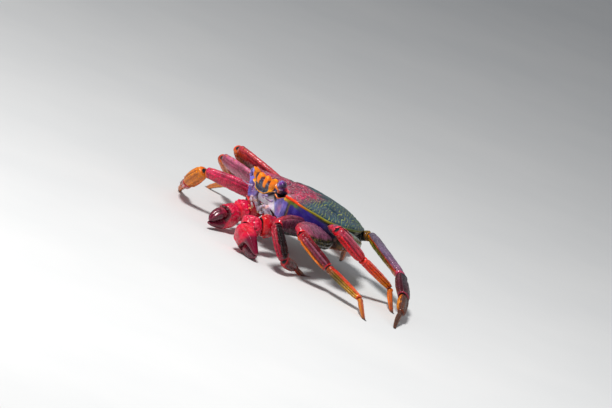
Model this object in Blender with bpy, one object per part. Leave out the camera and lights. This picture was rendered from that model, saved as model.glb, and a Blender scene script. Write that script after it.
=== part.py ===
"""Red rock shore crab, life size, standing still: hard shell pieces as separate solids."""
import bpy
import math
import numpy as np

for ob in list(bpy.data.objects):
    bpy.data.objects.remove(ob, do_unlink=True)

# ---- driving dimensions -------------------------------------------------
CARAPACE_LENGTH = 0.065      # metres, front to rear margin
PITCH_DEG = 7.0              # nose-up tilt of the body
BODY_HEIGHT = 0.4615         # centre of the margin plane above the floor, in carapace lengths
GAP = 0.0046                 # clearance at every joint, in carapace lengths
DOME = 0.080                 # rise of the shell above its margin plane
RING = 8                     # points round a walking-leg segment
CARA_RING = 28               # points round half of the shell margin

CL = CARAPACE_LENGTH
SHIFT = np.array([0.001540, -0.002366, 0.0])   # brings the middle of the stance to the origin
SP, CP = math.sin(math.radians(PITCH_DEG)), math.cos(math.radians(PITCH_DEG))


def b2w(p):
    """Body axes (forward, left, up) to the part's frame (left, back, up)."""
    x, y, z = p
    return np.array([y, -(x * CP - z * SP), x * SP + z * CP + BODY_HEIGHT])


def b2d(p):
    x, y, z = p
    return np.array([y, -(x * CP - z * SP), x * SP + z * CP])


def unit(v):
    v = np.asarray(v, float)
    return v / max(np.linalg.norm(v), 1e-12)


def hermite(keys, u):
    """Smooth curve through rows (u, a, b, ...); no overshoot."""
    k = np.asarray(keys, float)
    x, y = k[:, 0], k[:, 1:]
    d = np.diff(y, axis=0) / np.diff(x)[:, None]
    m = np.zeros_like(y)
    m[0], m[-1] = d[0], d[-1]
    same = (d[:-1] * d[1:]) > 0
    m[1:-1] = np.where(same, 2 * d[:-1] * d[1:] / np.where(same, d[:-1] + d[1:], 1), 0)
    u = np.clip(np.asarray(u, float), x[0], x[-1])
    i = np.clip(np.searchsorted(x, u, side="right") - 1, 0, len(x) - 2)
    h = (x[i + 1] - x[i])
    t = (u - x[i]) / h
    t, h = t[:, None], h[:, None]
    return ((1 + 2 * t) * (1 - t) ** 2 * y[i] + t * (1 - t) ** 2 * h * m[i]
            + t * t * (3 - 2 * t) * y[i + 1] + t * t * (t - 1) * h * m[i + 1])


# ---- mesh helpers -------------------------------------------------------
def mesh_object(name, verts, faces, cutter=False):
    me = bpy.data.meshes.new(name)
    me.from_pydata([tuple(v) for v in np.asarray(verts) * CL + SHIFT], [], faces)
    me.validate()
    v = np.asarray(verts)
    vol = 0.0
    for f in faces:
        for k in range(1, len(f) - 1):
            vol += np.dot(v[f[0]], np.cross(v[f[k]], v[f[k + 1]]))
    if vol < 0:
        me.flip_normals()
    for p in me.polygons:
        p.use_smooth = True
    ob = bpy.data.objects.new(name, me)
    bpy.context.collection.objects.link(ob)
    if cutter:
        ob.hide_render = True
        ob.display_type = "WIRE"
    return ob


def tube(centres, es, ts, we, wf, tt, expo, ring):
    """Closed tube: rings about each centre, first and last rings closed by a pole."""
    verts, faces = [], []
    th = np.arange(ring) / ring * 2 * np.pi
    c, s = np.cos(th), np.sin(th)
    cc = np.sign(c) * np.abs(c) ** (2 / expo)
    ss = np.sign(s) * np.abs(s) ** (2 / expo)
    n = len(centres)
    for i in range(n):
        w = np.where(cc > 0, we[i], wf[i])
        verts += list(centres[i] + (cc * w)[:, None] * es[i] + (ss * tt[i])[:, None] * ts[i])
    for i in range(n - 1):
        for j in range(ring):
            a, b = i * ring + j, i * ring + (j + 1) % ring
            faces.append((a, b, b + ring, a + ring))
    p0, p1 = len(verts), len(verts) + 1
    return verts, faces, p0, p1


def segment(a, b, e, prof, ring=RING, rings=6, expo=2.3, cap=0.10, cap_end=None, bow=0.0,
            grow=0.0, clamp=False, roll=0.0):
    """One limb segment from a to b. prof rows: (u, half width on the e side, on the other side, half thickness)."""
    a, b = np.asarray(a, float), np.asarray(b, float)
    ax = unit(b - a)
    length = np.linalg.norm(b - a)
    e = unit(np.asarray(e) - np.dot(e, ax) * ax)
    t = np.cross(ax, e)
    if roll:
        r = math.radians(roll)
        e, t = math.cos(r) * e + math.sin(r) * t, math.cos(r) * t - math.sin(r) * e
    cap_end = cap if cap_end is None else cap_end
    # stations closer together in the two rounded ends
    us = np.concatenate([[cap * 0.22], np.linspace(cap, 1 - cap_end, rings - 2), [1 - cap_end * 0.22]])
    val = hermite(prof, us)
    k = np.ones(len(us))
    lo, hi = us < cap, us > 1 - cap_end
    k[lo] = np.sqrt(np.clip(1 - ((cap - us[lo]) / cap) ** 2, 0, 1))
    k[hi] = np.sqrt(np.clip(1 - ((us[hi] - 1 + cap_end) / cap_end) ** 2, 0, 1))
    we, wf, tt = val[:, 0] * k + grow, val[:, 1] * k + grow, val[:, 2] * k + grow
    us2 = us.copy()
    us2[0] -= grow / length * 0.8
    us2[-1] += grow / length * 0.8
    bend = lambda u: 4 * u * (1 - u) * bow
    cen = np.array([a + ax * length * u + e * bend(min(max(u, 0), 1)) for u in us2])
    es = np.repeat(e[None], len(us), 0)
    ts = np.repeat(t[None], len(us), 0)
    v, f, p0, p1 = tube(cen, es, ts, we, wf, tt, expo, ring)
    v.append(a - ax * grow)
    v.append(b + ax * grow)
    last = (len(us) - 1) * ring
    for j in range(ring):
        f.append((p0, (j + 1) % ring, j))
        f.append((p1, last + j, last + (j + 1) % ring))
    v = np.array(v)
    if clamp:
        v[:, 2] = np.maximum(v[:, 2], 0.0)
    return v, f


CUTS = []


def cut(target, cutter_ob):
    m = target.modifiers.new("cut", "BOOLEAN")
    m.operation = "DIFFERENCE"
    m.solver = "EXACT"
    m.object = cutter_ob


def joined(name, parts):
    verts, faces = [], []
    for v, f in parts:
        o = len(verts)
        verts += list(v)
        faces += [tuple(i + o for i in q) for q in f]
    return mesh_object(name, verts, faces, cutter=True)


def paint(ob, colour, rough, metal=0.0):
    m = bpy.data.materials.new(ob.name + "_shell")
    m.use_nodes = True
    p = m.node_tree.nodes["Principled BSDF"]
    p.inputs["Base Color"].default_value = (*colour, 1)
    p.inputs["Roughness"].default_value = rough
    p.inputs["Metallic"].default_value = metal
    ob.data.materials.append(m)


# ---- the shell (carapace) -----------------------------------------------
# half outline, body axes: (s, forward, left, height of the margin)
MARGIN = [
    (0.00, 0.522, 0.000, 0.010), (0.06, 0.521, 0.075, 0.012), (0.12, 0.508, 0.135, 0.020),
    (0.165, 0.480, 0.176, 0.036), (0.20, 0.455, 0.210, 0.048), (0.235, 0.440, 0.260, 0.048),
    (0.27, 0.432, 0.314, 0.036), (0.30, 0.468, 0.356, 0.010), (0.33, 0.418, 0.386, 0.006),
    (0.355, 0.385, 0.408, 0.002), (0.38, 0.374, 0.440, 0.000), (0.42, 0.318, 0.466, -0.006),
    (0.48, 0.220, 0.503, -0.014), (0.55, 0.090, 0.533, -0.026), (0.62, -0.040, 0.532, -0.022),
    (0.70, -0.175, 0.486, -0.014), (0.78, -0.282, 0.400, -0.012), (0.85, -0.364, 0.302, -0.012),
    (0.91, -0.424, 0.212, -0.014), (0.96, -0.460, 0.114, -0.016), (1.00, -0.472, 0.000, -0.016)]
# side wall: (s, inward share half way down, inward share at the foot, drop half way, drop at the foot)
WALL = [
    (0.00, 0.030, 0.150, 0.080, 0.160), (0.06, 0.030, 0.150, 0.062, 0.160), (0.12, 0.035, 0.150, 0.010, 0.165),
    (0.165, 0.045, 0.140, 0.004, 0.175), (0.20, 0.030, 0.100, 0.036, 0.185), (0.27, 0.010, 0.080, 0.052, 0.195),
    (0.30, 0.060, 0.130, 0.075, 0.200), (0.38, 0.050, 0.170, 0.095, 0.200), (0.48, 0.045, 0.200, 0.115, 0.200),
    (0.60, 0.050, 0.230, 0.110, 0.180), (0.72, 0.060, 0.220, 0.085, 0.140), (0.85, 0.045, 0.150, 0.055, 0.095),
    (0.94, 0.030, 0.070, 0.038, 0.065), (1.00, 0.020, 0.060, 0.034, 0.060)]


def crown(x, y, r):
    """Extra height of the shell inside its margin: dome, swollen gill regions, front lobes."""
    h = DOME * (1 - r ** 2.6) ** 0.85 * (1 - 0.30 * np.clip((x - 0.02) / 0.40, 0, 1) ** 1.2)
    h += 0.012 * np.exp(-((x + 0.12) / 0.26) ** 2 - ((np.abs(y) - 0.24) / 0.17) ** 2) * (1 - r ** 4)
    h -= 0.010 * np.exp(-((x - 0.02) / 0.10) ** 2 - ((np.abs(y) - 0.10) / 0.05) ** 2)
    return h + 0.040 * brow(x, y)


def brow(x, y):
    """Four rounded lobes that overhang the front edge."""
    return sum(np.exp(-((x - 0.490) / 0.036) ** 2 - ((np.abs(y) - c) / 0.030) ** 2) for c in (0.050, 0.128))


def shell(grow=0.0):
    s = np.concatenate([np.linspace(0, 0.42, 17), np.linspace(0.42, 1, CARA_RING - 16)[1:]])
    half = hermite(MARGIN, s)
    wall = hermite(WALL, s)
    idx = list(range(len(s))) + list(range(len(s) - 2, 0, -1))
    sg = np.array([1] * len(s) + [-1] * (len(s) - 2))
    m = half[idx].copy()
    m[:, 1] *= sg
    w = wall[idx]
    n = len(m)
    verts, faces = [], []
    rads = (0.28, 0.52, 0.72, 0.87, 0.96, 1.0)
    scale = 1 + grow / 0.5
    for r in rads:
        x, y = m[:, 0] * r * scale, m[:, 1] * r * scale
        z = m[:, 2] * r ** 3 + crown(m[:, 0] * r, m[:, 1] * r, r) + grow
        x = x + 0.028 * brow(m[:, 0] * r, m[:, 1] * r)
        verts += [b2w(p) for p in zip(x, y, z)]
    for k, (ri, dz) in enumerate(((0.35, 0.42), (1, 1), (2, 2))):
        if k == 0:
            q, d = w[:, 0] * 0.22, w[:, 2] * 0.40
        elif k == 1:
            q, d = w[:, 0], w[:, 2]
        else:
            q, d = w[:, 1], w[:, 3]
        x, y = m[:, 0] * (1 - q) * scale, m[:, 1] * (1 - q) * scale
        z = m[:, 2] * (1 - min(1, k)) - d - (grow if k == 2 else 0)
        verts += [b2w(p) for p in zip(x, y, z)]
    q, d = w[:, 1], w[:, 3]
    x, y = m[:, 0] * (1 - q) * 0.55, m[:, 1] * (1 - q) * 0.55
    verts += [b2w(p) for p in zip(x, y, -0.45 * 0.15 - 0.55 * d - grow)]
    rings = len(rads) + 4
    for i in range(rings - 1):
        for j in range(n):
            a, b = i * n + j, i * n + (j + 1) % n
            faces.append((a, b, b + n, a + n))
    verts.append(b2w((0, 0, DOME + grow)))
    verts.append(b2w((0, 0, -0.15 - grow)))
    p0, p1 = len(verts) - 2, len(verts) - 1
    last = (rings - 1) * n
    for j in range(n):
        faces.append((p0, (j + 1) % n, j))
        faces.append((p1, last + j, last + (j + 1) % n))
    return np.array(verts), faces


def thorax(grow=0.0):
    rows = [(0.0, 0.07, 0.055, 0.10), (0.2, 0.10, 0.080, 0.215), (0.42, 0.10, 0.095, 0.285),
            (0.62, 0.10, 0.090, 0.285), (0.82, 0.10, 0.070, 0.205), (1.0, 0.06, 0.045, 0.09)]
    return segment(b2w((0.405, 0, -0.175)), b2w((-0.455, 0, -0.115)), b2d((0, 0, 1)), rows,
                   ring=14, rings=7, expo=2.7, cap=0.10, grow=grow)


def abdomen(grow=0.0):
    path = [(-0.478, -0.105), (-0.492, -0.140), (-0.478, -0.185), (-0.420, -0.228), (-0.320, -0.258),
            (-0.200, -0.280), (-0.080, -0.292), (0.030, -0.293)]
    half = [0.110, 0.150, 0.165, 0.160, 0.140, 0.110, 0.080, 0.045]
    path = np.array(path)
    cen, es, ts = [], [], []
    for i, (x, z) in enumerate(path):
        d = path[min(i + 1, len(path) - 1)] - path[max(i - 1, 0)]
        d = d / np.linalg.norm(d)
        cen.append(b2w((x, 0, z)))
        es.append(b2d((-d[1], 0, d[0])))
        ts.append(b2d((0, 1, 0)))
    k = np.full(len(path), 0.014 + grow)
    v, f, p0, p1 = tube(np.array(cen), es, ts, k, k, np.array(half) + grow, 3.0, 10)
    v.append(cen[0] + unit(cen[0] - cen[1]) * (0.012 + grow))
    v.append(cen[-1] + unit(cen[-1] - cen[-2]) * (0.030 + grow))
    last = (len(path) - 1) * 10
    for j in range(10):
        f.append((p0, (j + 1) % 10, j))
        f.append((p1, last + j, last + (j + 1) % 10))
    return np.array(v), f


def eye(side, grow=0.0):
    rows = [(0.0, 0.020, 0.020, 0.020), (0.35, 0.026, 0.026, 0.026), (0.62, 0.043, 0.043, 0.041), (1.0, 0.042, 0.042, 0.040)]
    root, end = ((0.430, 0.200, 0.030), (0.532, 0.312, 0.078)) if side > 0 else ((0.430, -0.200, 0.012), (0.530, -0.304, 0.016))
    return segment(b2w(root), b2w(end), b2d((0, 0, 1)), rows,
                   ring=10, rings=6, expo=2.0, cap=0.16, cap_end=0.40, grow=grow)


def antenna(side, grow=0.0):
    rows = [(0.0, 0.016, 0.016, 0.016), (0.25, 0.015, 0.015, 0.015), (0.4, 0.008, 0.008, 0.008), (1.0, 0.0055, 0.0055, 0.0055)]
    return segment(b2w((0.470, side * 0.200, -0.092)), b2w((0.560, side * 0.238, -0.086)), b2d((0, 0, 1)), rows,
                   ring=6, rings=5, expo=2.0, cap=0.1, grow=grow, bow=-0.008)


def maxilliped(side, grow=0.0):
    rows = [(0.0, 0.030, 0.030, 0.018), (0.3, 0.052, 0.044, 0.022), (0.6, 0.048, 0.046, 0.022),
            (0.85, 0.050, 0.050, 0.024), (1.0, 0.030, 0.034, 0.018)]
    return segment(b2w((0.335, side * 0.105, -0.262)), b2w((0.462, side * 0.098, -0.160)), b2d((0, side, 0.1)), rows,
                   ring=8, rings=6, expo=2.6, cap=0.10, grow=grow)


# ---- limbs --------------------------------------------------------------
# joint centres in carapace lengths: root of the merus, knee, wrist, dactyl joint, toe
LEGS = {
    "leg2_l": ((0.368, -0.169, 0.322), (0.701, -0.644, 0.350), (0.895, -0.565, 0.122), (0.756, -0.376, 0.062), (0.684, -0.215, 0.0)),
    "leg3_l": ((0.400, 0.040, 0.288), (0.892, -0.516, 0.370), (1.067, -0.254, 0.192), (1.446, -0.100, 0.097), (1.673, -0.137, 0.0)),
    "leg4_l": ((0.345, 0.305, 0.290), (0.921, -0.232, 0.486), (0.934, 0.070, 0.311), (0.911, 0.436, 0.133), (1.165, 0.385, 0.0)),
    "leg5_l": ((0.262, 0.468, 0.376), (0.912, 0.497, 0.247), (1.180, 0.435, 0.134), (1.495, 0.269, 0.085), (1.678, 0.160, 0.0)),
    "leg2_r": ((-0.362, -0.155, 0.309), (-0.640, -0.705, 0.350), (-0.850, -0.700, 0.177), (-1.130, -0.580, 0.088), (-1.310, -0.500, 0.0)),
    "leg3_r": ((-0.400, -0.001, 0.290), (-0.970, -0.416, 0.433), (-1.143, -0.155, 0.254), (-1.512, -0.012, 0.114), (-1.733, -0.037, 0.0)),
    "leg4_r": ((-0.365, 0.235, 0.300), (-0.908, -0.342, 0.558), (-1.060, -0.080, 0.350), (-1.330, 0.170, 0.150), (-1.500, 0.260, 0.0)),
    "leg5_r": ((-0.262, 0.468, 0.372), (-0.869, 0.630, 0.244), (-0.760, 0.880, 0.150), (-0.480, 0.700, 0.072), (-0.300, 0.600, 0.0))}
# outer edge of each thigh (merus), and how broad the leg is
EDGE = {"leg2_l": (0.160, -0.365, 1.035), "leg3_l": (-0.600, -0.520, 0.600), "leg4_l": (-0.572, -0.810, 0.060),
        "leg5_l": (0.100, -0.820, 0.550), "leg2_r": (0.780, -0.490, 0.985), "leg3_r": (0.560, -0.560, 0.610),
        "leg4_r": (0.500, -0.640, 0.580), "leg5_r": (0.050, -0.760, 0.640)}
COXA = {"leg2": (0.105, 0.250, -0.185), "leg3": (-0.040, 0.285, -0.195), "leg4": (-0.215, 0.250, -0.178), "leg5": (-0.385, 0.165, -0.090)}
BROAD = {"leg2": 0.75, "leg3": 1.08, "leg4": 1.06, "leg5": 0.80}
SHANK = {"leg2": 1.02, "leg3": 1.0, "leg4": 1.0, "leg5": 1.08}

MERUS = [(0.0, 0.042, 0.042, 0.036), (0.14, 0.068, 0.072, 0.042), (0.36, 0.104, 0.100, 0.044), (0.60, 0.110, 0.096, 0.042),
         (0.82, 0.090, 0.080, 0.040), (1.0, 0.062, 0.060, 0.036)]
CARPUS = [(0.0, 0.040, 0.036, 0.034), (0.2, 0.060, 0.050, 0.042), (0.6, 0.070, 0.058, 0.046), (0.88, 0.058, 0.050, 0.040), (1.0, 0.044, 0.040, 0.034)]
PROPODUS = [(0.0, 0.034, 0.034, 0.028), (0.2, 0.045, 0.040, 0.032), (0.55, 0.046, 0.041, 0.032), (0.9, 0.036, 0.034, 0.026), (1.0, 0.028, 0.028, 0.022)]
DACTYL = [(0.0, 0.021, 0.021, 0.017), (0.2, 0.025, 0.022, 0.019), (0.6, 0.019, 0.017, 0.015), (0.9, 0.0115, 0.0115, 0.010), (1.0, 0.0085, 0.0085, 0.008)]
BASE = [(0.0, 0.070, 0.066, 0.050), (0.3, 0.066, 0.062, 0.050), (0.55, 0.046, 0.046, 0.042), (0.8, 0.050, 0.050, 0.042), (1.0, 0.040, 0.040, 0.036)]


def scaled(rows, k, kt=1.0):
    return [(r[0], r[1] * k, r[2] * k, r[3] * kt) for r in rows]


def leg_segments(name, grow=0.0, part=None):
    j = [np.array(p) for p in LEGS[name]]
    kind, side = name.split("_")
    sg = 1 if side == "l" else -1
    k = BROAD[kind]
    e = np.array(EDGE[name], float)
    m = unit(j[1] - j[0])
    e = unit(e - np.dot(e, m) * m)
    n = np.cross(e, m)
    out = {}
    cx = COXA[kind]
    root = b2w((cx[0], sg * cx[1], cx[2]))
    specs = {"base": (root, j[0], e, scaled(BASE, k), dict(rings=6, cap=0.12)),
             "merus": (j[0], j[1], e, scaled(MERUS, k), dict(rings=7, cap=0.07))}
    low = (("carpus", 1, 2, CARPUS, dict(rings=6, cap=0.12)), ("propodus", 2, 3, PROPODUS, dict(rings=6, cap=0.09)))
    for nm, a, b, rows, kw in low:
        ax = unit(j[b] - j[a])
        nn = unit(n - np.dot(n, ax) * ax)
        specs[nm] = (j[a], j[b], np.cross(ax, nn), scaled(rows, SHANK[kind]), kw)
    ax = unit(j[4] - j[3])
    nn = unit(n - np.dot(n, ax) * ax)
    # the toe runs a little below the floor and is trimmed flat on it
    toe = j[4] + ax * 0.028 / max(0.25, -ax[2])
    specs["dactyl"] = (j[3], toe, np.cross(ax, nn), scaled(DACTYL, 0.5 + 0.5 * k), dict(rings=6, cap=0.12, cap_end=0.05, bow=0.010, clamp=True))
    for nm, (a, b, ee, rows, kw) in specs.items():
        if part and nm != part:
            continue
        ax = unit(np.asarray(b) - np.asarray(a))
        a2 = np.asarray(a) + ax * (0.0 if nm == "base" else GAP * 0.5) 
        b2 = np.asarray(b) - ax * (0.0 if nm == "dactyl" else GAP * 0.5)
        kw = dict(kw)
        if grow:
            kw.pop("clamp", None)
        out[nm] = segment(a2, b2, ee, rows, grow=grow, **kw)
    return out


# chelipeds: (base, merus root, merus end, carpus end, wrist, fixed fingertip)
CLAWS = {
    "claw_l": dict(base=b2w((0.215, 0.185, -0.225)), m0=(0.235, -0.372, 0.240), m1=(0.400, -0.590, 0.236), c1=(0.360, -0.755, 0.186),
                   tip=(0.688, -0.702, 0.050), em=(-0.2, -0.2, 0.95), ep=(-0.62, 0.25, -0.70)),
    "claw_r": dict(base=b2w((0.215, -0.175, -0.225)), m0=(-0.195, -0.320, 0.240), m1=(-0.338, -0.400, 0.212), c1=(-0.226, -0.500, 0.166),
                   tip=(-0.085, -0.810, 0.064), em=(0.2, -0.2, 0.95), ep=(0.12, -0.20, 0.95))}
CL_BASE = [(0.0, 0.062, 0.062, 0.058), (0.5, 0.056, 0.056, 0.052), (1.0, 0.048, 0.048, 0.046)]
CL_MERUS = [(0.0, 0.046, 0.046, 0.042), (0.3, 0.074, 0.070, 0.056), (0.75, 0.094, 0.088, 0.064), (1.0, 0.072, 0.070, 0.056)]
CL_CARPUS = [(0.0, 0.050, 0.050, 0.050), (0.3, 0.084, 0.078, 0.074), (0.7, 0.090, 0.082, 0.080), (1.0, 0.060, 0.060, 0.058)]


def palm_rings(c1, tip, ep, grow=0.0):
    """Palm with its fixed finger: one closed tube whose far third narrows to the lower side."""
    a, b = np.asarray(c1, float), np.asarray(tip, float)
    ax = unit(b - a)
    length = np.linalg.norm(b - a)
    e = unit(np.asarray(ep) - np.dot(ep, ax) * ax)
    t = np.cross(ax, e)
    rows = [(0.0, 0.044, 0.046, 0.046), (0.12, 0.080, 0.078, 0.068), (0.30, 0.104, 0.094, 0.082), (0.46, 0.102, 0.094, 0.078),
            (0.55, 0.008, 0.090, 0.056), (0.78, -0.012, 0.066, 0.036), (1.0, -0.012, 0.036, 0.017)]
    us = np.array([0.02, 0.08, 0.16, 0.28, 0.41, 0.485, 0.54, 0.68, 0.84, 0.97])
    val = hermite(rows, us)
    up, lo, tt = val[:, 0], val[:, 1], val[:, 2]
    tt = tt * np.array([0.55, 0.86, 1, 1, 1, 1, 1, 1, 1, 0.8])
    mid = (up - lo) / 2
    hw = (up + lo) / 2 * np.array([0.55, 0.86, 1, 1, 1, 1, 1, 1, 1, 0.8])
    cen = np.array([a + ax * length * u + e * m for u, m in zip(us, mid)])
    v, f, p0, p1 = tube(cen, np.repeat(e[None], len(us), 0), np.repeat(t[None], len(us), 0), hw + grow, hw + grow, tt + grow, 2.3, 10)
    v.append(a - ax * grow)
    v.append(b + e * mid[-1] * 0.6 + ax * grow)
    last = (len(us) - 1) * 10
    for j in range(10):
        f.append((p0, (j + 1) % 10, j))
        f.append((p1, last + j, last + (j + 1) % 10))
    return np.array(v), f, a, ax, length, e, t


def claw_segments(name, grow=0.0):
    c = CLAWS[name]
    out = {}
    out["base"] = segment(c["base"], c["m0"], c["em"], CL_BASE, ring=10, rings=5, cap=0.2, grow=grow)
    out["merus"] = segment(c["m0"], c["m1"], c["em"], CL_MERUS, ring=10, rings=7, cap=0.14, grow=grow)
    out["carpus"] = segment(c["m1"], c["c1"], c["em"], CL_CARPUS, ring=10, rings=7, cap=0.30, expo=2.1, grow=grow)
    v, f, a, ax, length, e, t = palm_rings(c["c1"], c["tip"], c["ep"], grow)
    out["palm"] = (v, f)
    f0 = a + ax * length * 0.495 + e * 0.050
    f1 = a + ax * length * 0.985 + e * 0.010
    rows = [(0.0, 0.036, 0.032, 0.044), (0.3, 0.046, 0.032, 0.046), (0.7, 0.036, 0.022, 0.034), (1.0, 0.016, 0.012, 0.016)]
    out["finger"] = segment(f0, f1, e, rows, ring=8, rings=7, cap=0.16, bow=0.016, grow=grow)
    return out


# ---- build --------------------------------------------------------------
RED, MAUVE, ORANGE, TEAL = (0.62, 0.02, 0.04), (0.28, 0.09, 0.16), (0.75, 0.20, 0.02), (0.06, 0.14, 0.15)
nodes = {}


def make(name, vf, colour, rough=0.3):
    ob = mesh_object(name, *vf)
    paint(ob, colour, rough)
    nodes[name] = ob
    return ob


make("carapace", shell(), TEAL, 0.28)
make("thorax", thorax(), (0.30, 0.28, 0.40), 0.4)
make("abdomen", abdomen(), (0.45, 0.36, 0.30), 0.4)
for sd, sg in (("l", 1), ("r", -1)):
    make("eye_" + sd, eye(sg), (0.16, 0.08, 0.22), 0.12)
    make("antenna_" + sd, antenna(sg), (0.55, 0.20, 0.05), 0.4)
    make("maxilliped_" + sd, maxilliped(sg), (0.42, 0.40, 0.55), 0.35)

TINT = {"base": (0.30, 0.12, 0.14), "merus": MAUVE, "carpus": RED, "propodus": RED, "dactyl": ORANGE, "palm": RED, "finger": (0.45, 0.02, 0.10)}
bases, thighs = [], []
for lg in LEGS:
    for nm, vf in leg_segments(lg).items():
        make(lg + "_" + nm, vf, TINT[nm], 0.3)
    big = leg_segments(lg, grow=GAP)
    bases.append(big["base"])
    thighs.append(big["merus"])
    order = ("base", "merus", "carpus", "propodus", "dactyl")
    for p, q in zip(order[:-1], order[1:]):
        v, f = big[q]
        cut(nodes[lg + "_" + p], mesh_object("cut_" + lg + "_" + q, v, f, cutter=True))
for cw in CLAWS:
    for nm, vf in claw_segments(cw).items():
        make(cw + "_" + nm, vf, TINT[nm] if nm != "merus" else RED, 0.28)
    big = claw_segments(cw, grow=GAP)
    bases.append(big["base"])
    thighs.append(big["merus"])
    order = ("base", "merus", "carpus", "palm", "finger")
    for p, q in zip(order[:-1], order[1:]):
        v, f = big[q]
        cut(nodes[cw + "_" + p], mesh_object("cut_" + cw + "_" + q, v, f, cutter=True))

cut_bases = joined("cut_bases", bases)
cut_thighs = joined("cut_thighs", thighs)
cut_small = joined("cut_small", [f(s, GAP) for f in (eye, antenna, maxilliped) for s in (1, -1)])
v, f = shell(GAP)
cut_shell = mesh_object("cut_shell", v, f, cutter=True)
v, f = abdomen(GAP)
cut_abd = mesh_object("cut_abdomen", v, f, cutter=True)
for c in (cut_bases, cut_thighs, cut_small, cut_abd):
    cut(nodes["carapace"], c)
for c in (cut_shell, cut_bases, cut_thighs, cut_small, cut_abd):
    cut(nodes["thorax"], c)
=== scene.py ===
"""Looks for the red rock shore crab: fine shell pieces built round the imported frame."""
import math
import bpy
import numpy as np
from mathutils import Matrix, Vector


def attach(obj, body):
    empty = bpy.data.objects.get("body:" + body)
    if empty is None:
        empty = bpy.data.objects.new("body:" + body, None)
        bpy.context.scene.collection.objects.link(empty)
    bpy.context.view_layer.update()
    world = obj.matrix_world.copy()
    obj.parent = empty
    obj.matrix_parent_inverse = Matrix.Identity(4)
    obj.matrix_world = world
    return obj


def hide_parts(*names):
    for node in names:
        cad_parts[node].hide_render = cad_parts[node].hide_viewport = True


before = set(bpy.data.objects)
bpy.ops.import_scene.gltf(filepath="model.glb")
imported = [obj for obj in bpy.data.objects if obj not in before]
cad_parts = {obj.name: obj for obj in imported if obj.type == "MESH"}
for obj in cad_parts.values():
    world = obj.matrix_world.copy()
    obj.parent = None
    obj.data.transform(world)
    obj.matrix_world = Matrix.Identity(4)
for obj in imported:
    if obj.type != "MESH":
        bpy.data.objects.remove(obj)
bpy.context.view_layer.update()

# ---- shared dimensions, as the frame has them ---------------------------
CL = 0.065
SHIFT = np.array([0.001540, -0.002366, 0.0])
PITCH_DEG, BODY_HEIGHT, GAP, DOME = 7.0, 0.4615, 0.0046, 0.080
SP, CP = math.sin(math.radians(PITCH_DEG)), math.cos(math.radians(PITCH_DEG))


def b2w(p):
    x, y, z = p
    return np.array([y, -(x * CP - z * SP), x * SP + z * CP + BODY_HEIGHT])


def b2wa(x, y, z):
    return np.stack([y, -(x * CP - z * SP), x * SP + z * CP + BODY_HEIGHT], -1)


def b2d(p):
    x, y, z = p
    return np.array([y, -(x * CP - z * SP), x * SP + z * CP])


def unit(v):
    v = np.asarray(v, float)
    return v / max(np.linalg.norm(v), 1e-12)


def hermite(keys, u):
    k = np.asarray(keys, float)
    x, y = k[:, 0], k[:, 1:]
    d = np.diff(y, axis=0) / np.diff(x)[:, None]
    m = np.zeros_like(y)
    m[0], m[-1] = d[0], d[-1]
    same = (d[:-1] * d[1:]) > 0
    m[1:-1] = np.where(same, 2 * d[:-1] * d[1:] / np.where(same, d[:-1] + d[1:], 1), 0)
    u = np.clip(np.asarray(u, float), x[0], x[-1])
    i = np.clip(np.searchsorted(x, u, side="right") - 1, 0, len(x) - 2)
    h = (x[i + 1] - x[i])
    t = (u - x[i]) / h
    t, h = t[:, None], h[:, None]
    return ((1 + 2 * t) * (1 - t) ** 2 * y[i] + t * (1 - t) ** 2 * h * m[i]
            + t * t * (3 - 2 * t) * y[i + 1] + t * t * (t - 1) * h * m[i + 1])


def ss(x, a, b):
    t = np.clip((np.asarray(x, float) - a) / (b - a), 0, 1)
    return t * t * (3 - 2 * t)


def bump(x, c, w):
    return np.exp(-((np.asarray(x, float) - c) / w) ** 2)


def hsh(i, j, k, s):
    n = (i * 374761393 + j * 668265263 + k * 1103515245 + s * 1274126177) & 0xffffffff
    n = ((n ^ (n >> 13)) * 1274126177) & 0xffffffff
    return ((n ^ (n >> 16)) & 0xffffff) / float(0xffffff)


def noise(p, s, seed=0):
    """Smooth value noise, -1 to 1, of points (..., 3)."""
    q = np.asarray(p) * s
    i = np.floor(q).astype(np.int64)
    f = q - i
    f = f * f * (3 - 2 * f)
    out = 0.0
    for a in (0, 1):
        wa = f[..., 0] if a else 1 - f[..., 0]
        for b in (0, 1):
            wb = f[..., 1] if b else 1 - f[..., 1]
            for c in (0, 1):
                wc = f[..., 2] if c else 1 - f[..., 2]
                out = out + wa * wb * wc * hsh(i[..., 0] + a, i[..., 1] + b, i[..., 2] + c, seed)
    return out * 2 - 1


def fbm(p, s, octaves=3, seed=0):
    out, amp, tot = 0.0, 1.0, 0.0
    for o in range(octaves):
        out = out + amp * noise(p, s * 2.03 ** o, seed + 17 * o)
        tot += amp
        amp *= 0.5
    return out / tot


def C(*rgb):
    return np.array(rgb, float)


def mixc(a, b, w):
    w = np.clip(np.asarray(w, float), 0, 1)[..., None]
    return np.asarray(a, float) * (1 - w) + np.asarray(b, float) * w


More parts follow.
